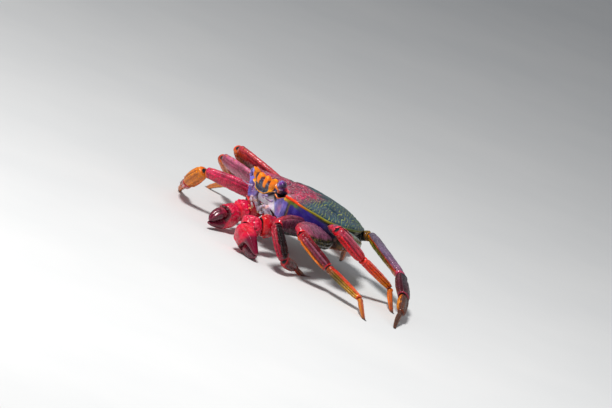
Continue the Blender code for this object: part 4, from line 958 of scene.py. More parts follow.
OR, YE, CR, MV, DK = (0.86, 0.28, 0.010), (0.80, 0.48, 0.03), (0.64, 0.022, 0.040), (0.27, 0.105, 0.185), (0.020, 0.012, 0.014)
OLV, GRY, BR = (0.16, 0.15, 0.035), (0.20, 0.24, 0.245), (0.11, 0.045, 0.018)
PAL = {
    "leg2_l": dict(
        merus=dict(E=[(0, (.20, .055, .12)), (.7, (.34, .065, .13)), (1, (.62, .04, .08))], F=(.03, .02, .02), A=(.40, .035, .07), P=[(0, (.15, .06, .11)), (1, (.20, .045, .09))], rim=(.72, .04, .07)),
        carpus=dict(E=[(0, (.50, .02, .05)), (1, (.30, .02, .05))], F=(.06, .010, .012), A=[(0, (.58, .02, .06)), (1, (.36, .02, .05))], P=[(0, (.05, .008, .014)), (.3, (.012, .003, .006)), (1, (.030, .006, .010))], rim=(.42, .025, .05), ewid=(.93, 1.0)),
        propodus=dict(E=(.62, .03, .04), F=(.30, .04, .012), A=(.60, .03, .04), P=(.17, .012, .020), rim=(.60, .03, .03), ewid=(.8, .98)),
        dactyl=dict(E=(.66, .10, .015), F=(.24, .04, .012), A=(.60, .08, .015), P=(.22, .03, .012))),
    "leg3_l": dict(
        merus=dict(E=[(0, (.24, .09, .15)), (.7, (.36, .10, .18)), (1, (.62, .04, .08))], F=[(0, (.035, .035, .016)), (1, (.08, .06, .02))], A=(.34, .06, .09), P=[(0, (.21, .10, .16)), (.6, (.31, .11, .19)), (1, (.46, .07, .13))], rim=(.78, .04, .05), fwid=(.20, .62)),
        carpus=dict(E=[(0, (.62, .025, .05)), (.3, (.30, .045, .085)), (.8, (.20, .025, .05)), (1, (.28, .02, .04))], F=(.10, .016, .016), A=[(0, (.90, .17, .010)), (.5, (.92, .30, .006)), (1, (.80, .18, .008))], P=[(0, (.42, .016, .035)), (.5, (.17, .008, .022)), (1, (.14, .008, .02))], rim=(.62, .025, .045), ewid=(.84, .98)),
        propodus=dict(E=[(0, (.40, .06, .02)), (.3, (.30, .20, .008)), (.65, (.44, .26, .008)), (1, (.80, .40, .010))], F=(.18, .09, .008), A=[(0, (.34, .09, .012)), (.3, (.20, .17, .006)), (.65, (.40, .28, .006)), (1, (.84, .44, .008))], P=[(0, (.60, .03, .025)), (.6, (.74, .09, .010)), (1, (.84, .20, .008))], rim=(.66, .09, .012), ewid=(.62, .95)),
        dactyl=dict(E=(.62, .22, .010), F=(.26, .07, .010), A=(.80, .34, .010), P=(.50, .11, .012))),
    "leg4_l": dict(
        merus=dict(E=[(0, (.16, .09, .13)), (.7, (.30, .09, .15)), (1, (.66, .05, .10))], F=[(0, (.10, .125, .09)), (1, (.14, .165, .13))], A=(.13, .16, .15), P=[(0, (.13, .10, .13)), (1, (.26, .09, .15))], rim=(.85, .05, .10), fwid=(.2, .8)),
        carpus=dict(E=[(0, (.60, .06, .12)), (.4, (.52, .08, .14)), (1, (.78, .03, .05))], F=(.22, .012, .016), A=[(0, (.90, .010, .030)), (1, (.82, .008, .016))], P=[(0, (.50, .02, .05)), (.6, (.44, .03, .06)), (1, (.66, .02, .02))], rim=(.62, .015, .03), ewid=(.84, .98)),
        propodus=dict(E=[(0, (.90, .08, .06)), (.5, (.90, .14, .015)), (1, (.94, .36, .006))], F=(.42, .07, .006), A=[(0, (.84, .012, .014)), (.4, (.90, .10, .006)), (.7, (.94, .30, .004)), (1, (.96, .44, .004))], P=[(0, (.74, .012, .018)), (.6, (.80, .05, .008)), (1, (.86, .18, .006))], rim=(.66, .08, .008), ewid=(.72, .96)),
        dactyl=dict(E=[(0, (.90, .29, .004)), (1, (.78, .18, .004))], F=(.34, .07, .005), A=(.90, .32, .004), P=[(0, (.84, .22, .004)), (1, (.34, .06, .006))])),
    "leg5_l": dict(
        merus=dict(E=[(0, (.86, .40, .006)), (.15, (.86, .20, .008)), (1, (.86, .08, .012))], F=(.12, .09, .02), A=[(0, (.92, .52, .006)), (.14, (.92, .60, .02)), (.30, (.40, .46, .012)), (.60, (.40, .36, .010)), (1, (.86, .22, .006))], P=[(0, (.20, .17, .22)), (.6, (.24, .17, .28)), (1, (.30, .13, .22))], rim=(.66, .10, .20), wob=.06, ewob=.010, ewid=(.970, .990), turn=.42),
        carpus=dict(E=(.16, .03, .05), F=(.05, .014, .014), A=[(0, (.10, .03, .03)), (1, (.22, .06, .02))], P=[(0, (.045, .050, .070)), (1, (.10, .03, .04))], rim=(.34, .03, .07), ewid=(.80, 1.0)),
        propodus=dict(E=(.20, .05, .015), F=(.10, .03, .010), A=[(0, (.60, .14, .01)), (.35, (.95, .42, .008)), (.8, (.90, .36, .008)), (1, (.55, .16, .01))], P=[(0, (.09, .03, .015)), (1, (.20, .06, .012))], rim=(.20, .05, .015), ewid=(.94, 1.0), turn=-.50),
        # last leg's toe painted dark brown as shade
        dactyl=dict(E=(.13, .045, .012), F=(.07, .025, .010), A=(.17, .055, .012), P=(.10, .03, .010))),
    "leg2_r": dict(
        merus=dict(E=(.78, .06, .17), F=(.16, .04, .05), A=[(0, (.62, .04, .12)), (1, (.80, .04, .12))], P=(.48, .04, .12), rim=(.92, .24, .02)),
        carpus=dict(E=(.90, .33, .012), F=(.50, .10, .02), A=(.88, .30, .012), P=(.84, .24, .015), rim=(.80, .16, .02)),
        propodus=dict(E=(.78, .07, .03), F=(.40, .06, .02), A=(.72, .05, .04), P=(.66, .04, .04), rim=(.62, .10, .015)),
        dactyl=dict(E=(.80, .24, .012), F=(.40, .10, .012), A=(.82, .26, .012), P=(.70, .16, .012))),
    "leg3_r": dict(
        merus=dict(E=(.66, .20, .32), F=(.24, .16, .16), A=[(0, (.50, .16, .27)), (1, (.72, .20, .30))], P=(.38, .12, .21), rim=(.94, .36, .02)),
        carpus=dict(E=(.84, .16, .03), F=(.40, .06, .02), A=(.88, .24, .015), P=(.74, .06, .05), rim=(.66, .05, .04)),
        propodus=dict(E=(.76, .06, .03), F=(.40, .08, .015), A=(.80, .14, .015), P=(.66, .03, .04), rim=(.62, .08, .02)),
        dactyl=dict(E=(.86, .28, .012), F=(.36, .09, .01), A=(.88, .30, .012), P=(.70, .16, .012))),
    "leg4_r": dict(
        merus=dict(E=(.62, .08, .10), F=(.10, .05, .05), A=[(0, (.46, .04, .09)), (.8, (.62, .04, .06)), (1, (.86, .16, .02))], P=(.34, .04, .08), rim=(.90, .22, .02)),
        carpus=dict(E=(.86, .14, .02), F=(.30, .05, .03), A=(.88, .28, .014), P=(.74, .08, .03), rim=(.75, .08, .04)),
        propodus=dict(E=(.74, .05, .03), F=(.40, .07, .015), A=(.82, .20, .014), P=(.62, .03, .03), rim=(.62, .08, .02)),
        dactyl=dict(E=(.86, .28, .012), F=(.36, .09, .01), A=(.88, .30, .012), P=(.70, .16, .012))),
    "leg5_r": dict(
        merus=dict(E=(.70, .14, .05), F=(.12, .09, .05), A=[(0, (.70, .42, .03)), (.25, (.34, .40, .04)), (1, (.70, .24, .02))], P=(.30, .17, .24), rim=(.60, .16, .26), ewid=(.80, 1.0)),
        carpus=dict(E=(.60, .05, .06), F=(.16, .03, .03), A=(.66, .12, .02), P=(.40, .06, .09), rim=(.55, .05, .05)),
        propodus=dict(E=(.66, .08, .03), F=(.30, .06, .015), A=(.78, .24, .014), P=(.52, .05, .03), rim=(.5, .08, .02)),
        dactyl=dict(E=(.80, .24, .012), F=(.30, .08, .01), A=(.84, .28, .012), P=(.60, .14, .012)))}


def leg_frames(name):
    j = [np.array(p) for p in LEGS[name]]
    kind, side = name.split("_")
    sg = 1 if side == "l" else -1
    k = BROAD[kind]
    e = np.array(EDGE[name], float)
    m = unit(j[1] - j[0])
    e = unit(e - np.dot(e, m) * m)
    n = np.cross(e, m)
    cx = COXA[kind]
    root = b2w((cx[0], sg * cx[1], cx[2]))
    base_r, mer_r = scaled(BASE, k), scaled(MERUS, k)
    if kind == "leg5":
        mer_r[0], mer_r[1] = (0.0, 0.050, 0.050, 0.042), (0.14, 0.070, 0.074, 0.044)
        base_r[-1] = (1.0, 0.044, 0.044, 0.040)
    out = {"base": (root, j[0], e, base_r), "merus": (j[0], j[1], e, mer_r)}
    for nm, a, b, rows in (("carpus", 1, 2, CARPUS), ("propodus", 2, 3, PROPODUS)):
        ax = unit(j[b] - j[a])
        nn = unit(n - np.dot(n, ax) * ax)
        out[nm] = (j[a], j[b], np.cross(ax, nn), scaled(rows, SHANK[kind]))
    ax = unit(j[4] - j[3])
    nn = unit(n - np.dot(n, ax) * ax)
    toe = j[4] + ax * 0.028 / max(0.25, -ax[2])
    out["dactyl"] = (j[3], toe, np.cross(ax, nn), scaled(DACTYL, 0.5 + 0.5 * k))
    return out, sg, [unit(j[i + 1] - j[i]) for i in range(4)], j


def surface_pick(g, u, th):
    """Point, outward normal on the finished grid at (u, angle) lists."""
    nv = g.P.shape[1]
    i = np.clip(np.searchsorted(g.u, u), 0, len(g.u) - 1)
    j = np.round(np.asarray(th) / (2 * np.pi) * nv).astype(int) % nv
    N = g._N if hasattr(g, "_N") else normals(g.P)
    g._N = N
    return g.P[i, j], N[i, j], i, j


def make_leg(name):
    fr, sg, axes, J = leg_frames(name)
    pal = PAL[name]
    lead = name in ("leg2_l", "leg3_l", "leg4_l", "leg5_l")
    for part in pal.values():
        part.setdefault("hollow", (0.040, 0.020, 0.022) if lead else (0.34, 0.08, 0.02))
    rng = np.random.default_rng(sum(map(ord, name)))
    mats = [M_LEG, M_HORN]
    # coxa and basis
    a, b, e, rows = fr["base"]
    g = Seg(a, b, e, rows, nu=60, nv=56, cap=0.12)
    g.push(-0.006 * bump(g.U, 0.50 + 0.05 * g.CE, 0.020) + 0.003 * bump(g.U, 0.44 + 0.05 * g.CE, 0.03)
           - 0.003 * bump(g.U, 0.78 - 0.06 * g.ST, 0.016) + 0.0050 * fbm(g.P, 16.0, 3, 7))
    g.socket(J[0], axes[0], d0=-0.004, depth=0.008, lip=0.001, width=0.008)
    col = mixc(C(0.10, 0.090, 0.045), C(0.36, 0.24, 0.05), ss(noise(g.P, 22.0, 220), -0.1, 0.6))
    col = mixc(col, C(0.030, 0.034, 0.030), ss(g.CE, 0.1, 0.8) * 0.75)
    col = mixc(col, C(0.50, 0.30, 0.24), ss(-g.CE, 0.2, 0.9) * 0.5)
    if name.startswith("leg5"):      # the last hip shows as an orange and yellow knuckle
        warm = mixc(C(0.84, 0.30, 0.010), C(0.88, 0.60, 0.05), ss(noise(g.P, 22.0, 223), -0.1, 0.5))
        warm = mixc(warm, C(0.10, 0.05, 0.015), ss(noise(g.P, 30.0, 224), 0.15, 0.5) * 0.8)
        col = mixc(col, C(0.022, 0.032, 0.030), ss(g.U, 0.20, 0.32) * 0.9)
        col = mixc(col, warm, ss(g.U + 0.05 * g.CE, 0.64, 0.74) * 0.24 * ss(noise(g.P, 17.0, 78), -0.30, 0.05))
    col = mixc(col, C(0.03, 0.03, 0.02), bump(g.U, 0.50 + 0.05 * g.CE, 0.012) * (0.3 if name.startswith("leg5") else 0.9))
    col, msk = finish_paint(g, col, dict(rim=(0.50, 0.26, 0.03), hollow=(0.09, 0.05, 0.02)), 0.3, 0.6, 0.2)
    sk = Skin()
    g.into(sk, col, msk)
    sk.make(name + "_hip", name + "_base", mats)

    # merus: the broad thigh
    a, b, e, rows = fr["merus"]
    g = Seg(a, b, e, rows, nu=170 if lead else 120, nv=104 if lead else 80, cap=0.07, cap_end=0.035)
    face = 1 - ss(np.abs(g.CE), 0.72, 0.97)
    U = g.U
    # sharp crest on the outer edge, keel on the inner one
    g.push(0.006 * bump(g.CE, 1.0, 0.10) * ss(U, 0.08, 0.2) * (1 - ss(U, 0.90, 0.98))
           + 0.004 * bump(g.CE, -1.0, 0.08) * ss(U, 0.1, 0.25)
           - 0.0045 * bump(np.abs(g.CE), 0.80, 0.07) * ss(U, 0.12, 0.25) * (1 - ss(U, 0.84, 0.93))
           - 0.0050 * bump(U, 0.085, 0.022))
    # cross wrinkles, each broken into short arcs
    lp = np.stack([g.loc[..., 0], g.loc[..., 1] * 0.6, g.loc[..., 2]], -1)
    lines = g.loc[..., 2] / 0.0175 - 2.2 * (g.CE ** 2) * 0.45 + 0.75 * noise(lp, 22.0, 31)
    f = lines - np.floor(lines)
    keep = ss(noise(lp, 42.0, 33), -0.40, 0.05)
    wr = np.exp(-((f - 0.5) / 0.22) ** 2) * keep * face * ss(U, 0.10, 0.18) * (1 - ss(U, 0.88, 0.94))
    g.push(0.0032 * wr)
    g.push(0.0030 * fbm(g.P, 16.0, 3, 35) * ss(U, 0.05, 0.15))
    saw = np.clip(np.sin(g.loc[..., 2] / 0.020 * 2 * np.pi), 0, 1) ** 2
    g.push(0.0035 * saw * bump(g.CE, 1.0, 0.06) * ss(U, 0.15, 0.3) * (1 - ss(U, 0.88, 0.95)))
    g.socket(J[1], axes[1], d0=-0.005, depth=0.020, lip=0.0025, width=0.010)
    sp = pal["merus"]
    col = side_paint(g, sg, sp)
    if name == "leg3_l":      # dark olive lower half on the rear face, broken by yellow specks
        w = ss(-(g.CE) - 0.44 + 0.12 * noise(g.P, 30.0, 55), -0.14, 0.14) * ss(-g.ST * sg, -0.2, 0.2) * ss(U, 0.15, 0.3) * (1 - ss(U, 0.84, 0.92))
        oli = mixc(C(0.030, 0.030, 0.022), C(0.20, 0.17, 0.035), ss(noise(g.P, 95.0, 56), 0.05, 0.55))
        col = mixc(col, oli, w)
    if name == "leg4_l":      # stone-coloured rear half with fine dots
        w = ss(-(g.CE), -0.25, 0.25)
        dots = mixc(C(0.19, 0.26, 0.24), C(0.42, 0.50, 0.46), ss(noise(g.P, 95.0, 57), 0.0, 0.4))
        col = mixc(col, dots, w * (1 - ss(U, 0.86, 0.93)) * 0.8)
        col = mixc(col, C(0.24, 0.25, 0.06), ss(-g.CE, 0.75, 1.0) * 0.7)
    # painted highlight on the wrinkle crests, painted shade along one side of each wrinkle
    col = mixc(col, np.clip(col * 1.60 + 0.020, 0, 1), wr * 0.60)
    col = mixc(col, col * 0.40, np.exp(-((f - 0.02) / 0.10) ** 2) * keep * face * 0.5)
    col, msk = finish_paint(g, col, sp, 0.62, 0.55, 0.45)
    col, msk = root_band(g, col, msk, 0.008, colour=(0.05, 0.04, 0.02), edge=stops(np.zeros(1), sp["E"])[0])
    sk = Skin()
    g.into(sk, col, msk)
    # teeth at the far end of both edges
    g._N = normals(g.P)
    th_e = np.array([0.10, -0.10, 0.0]) % (2 * np.pi)
    uu = np.array([0.80, 0.87, 0.925])
    p, n, _, _ = surface_pick(g, uu, np.array([0.0, 0.05, 0.0]))
    spines(sk, p - n * 0.003, n * 0.7 + g.ax * 0.9, np.array([0.012, 0.014, 0.020]), np.array([0.0050, 0.0055, 0.0065]), C(*sp["rim"]), C(0.30, 0.10, 0.04), mi=1, sides=8)
    p, n, _, _ = surface_pick(g, np.array([0.70, 0.77, 0.835, 0.89]), np.full(4, np.pi) + 0.06)
    spines(sk, p - n * 0.003, n * 0.8 + g.ax * 0.7, np.array([0.010, 0.012, 0.014, 0.016]), 0.0048, C(*sp["rim"]), C(0.25, 0.08, 0.03), mi=1, sides=8)
    # sparse short hair in the wrinkles
    K = 260 if lead else 120
    u = rng.uniform(0.16, 0.86, K)
    th = rng.uniform(0, 2 * np.pi, K)
    p, n, _, _ = surface_pick(g, u, th)
    spines(sk, p, n * 0.5 + g.ax * 0.9 + rng.normal(0, 0.15, (K, 3)), rng.uniform(0.0035, 0.0065, K), 0.0006, C(0.20, 0.10, 0.09), C(0.40, 0.28, 0.20), sides=3, mi=1)
    sk.make(name + "_thigh", name + "_merus", mats)

    # carpus
    a, b, e, rows = fr["carpus"]
    g = Seg(a, b, e, rows, nu=110 if lead else 80, nv=88 if lead else 64, cap=0.075, cap_end=0.05)
    U, th = g.U, g.TH
    thc = np.minimum(th, 2 * np.pi - th)          # angle from the outer edge, both faces
    run = ss(U, 0.10, 0.22) * (1 - ss(U, 0.86, 0.95))
    ribs = bump(thc, 0.62, 0.11) + 0.8 * bump(thc, 1.45, 0.13) + 0.6 * bump(thc, 2.45, 0.16)
    cuts = bump(thc, 0.30, 0.12) + bump(thc, 1.02, 0.17) + 0.7 * bump(thc, 1.95, 0.22)
    g.push((0.0070 * ribs - 0.0080 * cuts) * run)
    g.push(0.0050 * bump(thc, 0.0, 0.11) * run)
    lines = g.loc[..., 2] / 0.016 + 0.8 * noise(g.P, 30.0, 61)
    f = lines - np.floor(lines)
    wr = np.exp(-((f - 0.5) / 0.22) ** 2) * ss(noise(g.P, 50.0, 62), -0.1, 0.3) * run
    g.push(0.0016 * wr + 0.0020 * fbm(g.P, 22.0, 3, 63))
    g.push(0.003 * bump(U, 0.075, 0.030) - 0.003 * bump(U, 0.135, 0.025))
    g.socket(J[2], axes[2], d0=-0.004, depth=0.014, lip=0.0020, width=0.008)
    sp = pal["carpus"]
    col = side_paint(g, sg, sp)
    # painted shade in the grooves, painted highlight on the ribs
    col = mixc(col, col * 0.35, np.clip(cuts, 0, 1) * run * 0.55)
    col = mixc(col, np.clip(col * 1.40 + 0.010, 0, 1), np.clip(ribs, 0, 1) * run * 0.50)
    if name == "leg4_l":
        # painted highlight: pale line along the first rib
        col = mixc(col, C(0.92, 0.66, 0.72), bump(thc, 0.62, 0.045) * run * ss(-g.ST * sg, -0.3, 0.2) * 0.7)
        col = mixc(col, C(0.50, 0.27, 0.36), bump(thc, 0.98, 0.36) * run * (1 - ss(U, 0.70, 0.92)) * ss(-g.ST * sg, 0.0, 0.3) * 0.8)
    if name == "leg3_l":
        col = mixc(col, C(0.42, 0.17, 0.25), bump(thc, 0.55, 0.16) * run * ss(-g.ST * sg, 0.0, 0.3) * 0.75)
    col, msk = finish_paint(g, col, sp, 0.42, 0.45, 0.25)
    col, msk = root_band(g, col, msk, 0.018, edge=sp["rim"])
    sk = Skin()
    g.into(sk, col, msk)
    p, n, _, _ = surface_pick(g, np.array([0.84, 0.90]), np.array([0.0, 0.25]))
    spines(sk, p - n * 0.002, n * 0.6 + g.ax, np.array([0.012, 0.012]), 0.0045, C(*sp["rim"]), C(0.20, 0.06, 0.03), mi=1, sides=8)
    K = 90 if lead else 50
    u, tt_ = rng.uniform(0.15, 0.90, K), rng.uniform(0, 2 * np.pi, K)
    p, n, _, _ = surface_pick(g, u, tt_)
    spines(sk, p, n * 0.5 + g.ax + rng.normal(0, 0.15, (K, 3)), rng.uniform(0.004, 0.007, K), 0.0006, C(0.20, 0.08, 0.06), C(0.36, 0.22, 0.14), sides=3, mi=1)
    sk.make(name + "_knee", name + "_carpus", mats)

    # propodus
    a, b, e, rows = fr["propodus"]
    g = Seg(a, b, e, rows, nu=120 if lead else 84, nv=80 if lead else 60, cap=0.055, cap_end=0.045)
    U, th = g.U, g.TH
    thc = np.minimum(th, 2 * np.pi - th)
    run = ss(U, 0.08, 0.20) * (1 - ss(U, 0.88, 0.96))
    ribs = bump(thc, 0.55, 0.10) + 0.8 * bump(thc, 1.35, 0.13) + 0.7 * bump(thc, 2.40, 0.16)
    cuts = bump(thc, 0.26, 0.11) + bump(thc, 0.95, 0.17) + 0.7 * bump(thc, 1.90, 0.22)
    g.push((0.0052 * ribs - 0.0062 * cuts) * run + 0.0042 * bump(thc, 0.0, 0.09) * run)
    g.push(0.0018 * fbm(g.P, 26.0, 3, 73) + 0.0028 * bump(U, 0.055, 0.024) - 0.0025 * bump(U, 0.105, 0.020))
    g.socket(J[3], axes[3], d0=-0.003, depth=0.010, lip=0.0018, width=0.007)
    sp = pal["propodus"]
    col = side_paint(g, sg, sp)
    # painted shade in the grooves, painted highlight on the ribs
    col = mixc(col, col * 0.38, np.clip(cuts, 0, 1) * run * 0.5)
    col = mixc(col, np.clip(col * 1.35 + 0.010, 0, 1), np.clip(ribs, 0, 1) * run * 0.45)
    if name == "leg4_l":
        # painted highlight: near-white line along the first rib
        col = mixc(col, C(1.0, 0.80, 0.78), bump(thc, 0.55, 0.035) * run * ss(-g.ST * sg, -0.4, 0.2) * 0.7)
    if name == "leg3_l":
        col = mixc(col, C(0.86, 0.09, 0.02), bump(thc, 0.55, 0.16) * ss(-g.ST * sg, 0.0, 0.3) * 0.9)
    col, msk = finish_paint(g, col, sp, 0.32, 0.40, 0.22)
    col, msk = root_band(g, col, msk, 0.014, edge=sp["rim"])
    sk = Skin()
    g.into(sk, col, msk)
    # rows of stiff bristles down both edges, longer toward the foot
    for th0, amp in ((0.0, 1.0), (0.45, 0.8), (-0.45, 0.8), (np.pi, 1.0), (np.pi + 0.5, 0.8), (np.pi - 0.5, 0.8)):
        K = 22
        u = np.linspace(0.22, 0.95, K) + rng.normal(0, 0.008, K)
        p, n, _, _ = surface_pick(g, u, np.full(K, th0) + rng.normal(0, 0.06, K))
        ln = (0.005 + 0.008 * u) * amp * rng.uniform(0.8, 1.2, K)
        spines(sk, p - n * 0.001, n * 0.70 + g.ax * 0.95, ln, 0.0016, C(0.55, 0.20, 0.03) if name[3] != "2" else C(0.30, 0.05, 0.02), C(0.10, 0.03, 0.015), mi=1, sides=5)
    K = 130
    u, tt_ = rng.uniform(0.15, 0.95, K) ** 0.8, rng.uniform(0, 2 * np.pi, K)
    p, n, _, _ = surface_pick(g, u, tt_)
    spines(sk, p, n * 0.5 + g.ax + rng.normal(0, 0.15, (K, 3)), rng.uniform(0.005, 0.010, K), 0.0006, C(0.22, 0.08, 0.04), C(0.40, 0.24, 0.12), sides=3, mi=1)
    sk.make(name + "_shin", name + "_propodus", mats)

    # dactyl
    a, b, e, rows = fr["dactyl"]
    g = Seg(a, b, e, rows, nu=90, nv=56, cap=0.08, cap_end=0.05, bow=0.010)
    U, th = g.U, g.TH
    run = ss(U, 0.14, 0.25) * (1 - ss(U, 0.85, 0.97))
    four = 0.5 + 0.5 * np.cos(th * 4)
    g.push((0.0026 * four - 0.0018 * (1 - four)) * run + 0.0012 * fbm(g.P, 40.0, 3, 83))
    g.push(0.0035 * bump(U, 0.075, 0.030) - 0.003 * bump(U, 0.145, 0.025))
    sp = pal["dactyl"]
    col = side_paint(g, sg, sp)
    # painted shade in the grooves between the four ridges
    col = mixc(col, col * 0.42, (1 - four) * run * 0.5)
    tipw = ss(U, 0.74, 0.86)
    col = mixc(col, mixc(C(0.16, 0.055, 0.015), C(0.045, 0.020, 0.010), ss(U, 0.80, 0.93)), tipw)
    col, msk = finish_paint(g, col, sp, 0.30, 0.45, 0.25)
    msk[..., 0] *= 1 - tipw
    col, msk = root_band(g, col, msk, 0.016, edge=sp["E"] if np.isscalar(sp["E"][0]) else sp["E"][0][1])
    sk = Skin()
    g.into(sk, col, msk, clamp=True)
    for k4 in range(8):
        th0 = k4 * np.pi / 4
        K = 9 if k4 % 2 == 0 else 8
        u = np.linspace(0.20, 0.80, K) + (0.03 if k4 % 2 else 0.0)
        p, n, _, _ = surface_pick(g, u, np.full(K, th0))
        keepz = p[:, 2] > 0.020
        ln = 0.0105 * (1 - 0.35 * np.abs(u - 0.45)) * (1.0 if k4 % 2 == 0 else 0.7)
        spines(sk, (p - n * 0.001)[keepz], (n * 0.85 + g.ax * 0.75)[keepz], ln[keepz], 0.0024, C(0.80, 0.30, 0.02), C(0.20, 0.07, 0.02), mi=1, sides=6)
    sk.make(name + "_toe", name + "_dactyl", [M_TOE, M_HORN])


for lg in LEGS:
    make_leg(lg)


# ---- claws --------------------------------------------------------------
CLAWS = {
    "claw_l": dict(base=b2w((0.215, 0.185, -0.225)), m0=(0.235, -0.372, 0.240), m1=(0.400, -0.590, 0.236), c1=(0.360, -0.755, 0.186),
                   tip=(0.688, -0.702, 0.050), em=(-0.2, -0.2, 0.95), ep=(-0.62, 0.25, -0.70)),
    "claw_r": dict(base=b2w((0.215, -0.175, -0.225)), m0=(-0.195, -0.320, 0.240), m1=(-0.338, -0.400, 0.212), c1=(-0.226, -0.500, 0.166),
                   tip=(-0.085, -0.810, 0.064), em=(0.2, -0.2, 0.95), ep=(0.12, -0.20, 0.95))}
CL_BASE = [(0.0, 0.062, 0.062, 0.058), (0.5, 0.056, 0.056, 0.052), (1.0, 0.048, 0.048, 0.046)]
CL_MERUS = [(0.0, 0.046, 0.046, 0.042), (0.3, 0.074, 0.070, 0.056), (0.75, 0.094, 0.088, 0.064), (1.0, 0.072, 0.070, 0.056)]
CL_CARPUS = [(0.0, 0.060, 0.058, 0.056), (0.3, 0.084, 0.078, 0.074), (0.7, 0.090, 0.082, 0.080), (1.0, 0.060, 0.060, 0.058)]
PALM_ROWS = [(0.0, 0.044, 0.046, 0.046), (0.12, 0.080, 0.078, 0.068), (0.30, 0.104, 0.094, 0.082), (0.46, 0.102, 0.094, 0.078),
             (0.55, 0.008, 0.090, 0.056), (0.78, -0.012, 0.066, 0.036), (1.0, -0.012, 0.036, 0.017)]
CRIM, CRIM2, WINE, PALE = C(0.80, 0.010, 0.090), C(0.55, 0.003, 0.034), C(0.16, 0.003, 0.040), C(1.0, 0.26, 0.38)


def claw_paint(g, base, streak=1.0, pitch=0.017, along=True, seed=0):
    """Crimson enamel with fine pale lines and darker clouds."""
    n1 = noise(g.P, 14.0, 300 + seed)
    col = mixc(base, CRIM2, ss(n1, -0.1, 0.7) * 0.8)
    q = g.TH * 8.0 / (2 * np.pi) if along else g.loc[..., 2] / pitch
    f = q * (1.0 if along else 1.0) + 0.55 * noise(g.P, 26.0, 310 + seed)
    f = f - np.floor(f)
    keep = ss(noise(g.P, 34.0, 320 + seed), -0.2, 0.25)
    ln = np.exp(-((f - 0.5) / 0.13) ** 2) * keep
    return mixc(col, PALE, ln * 0.5 * streak), ln


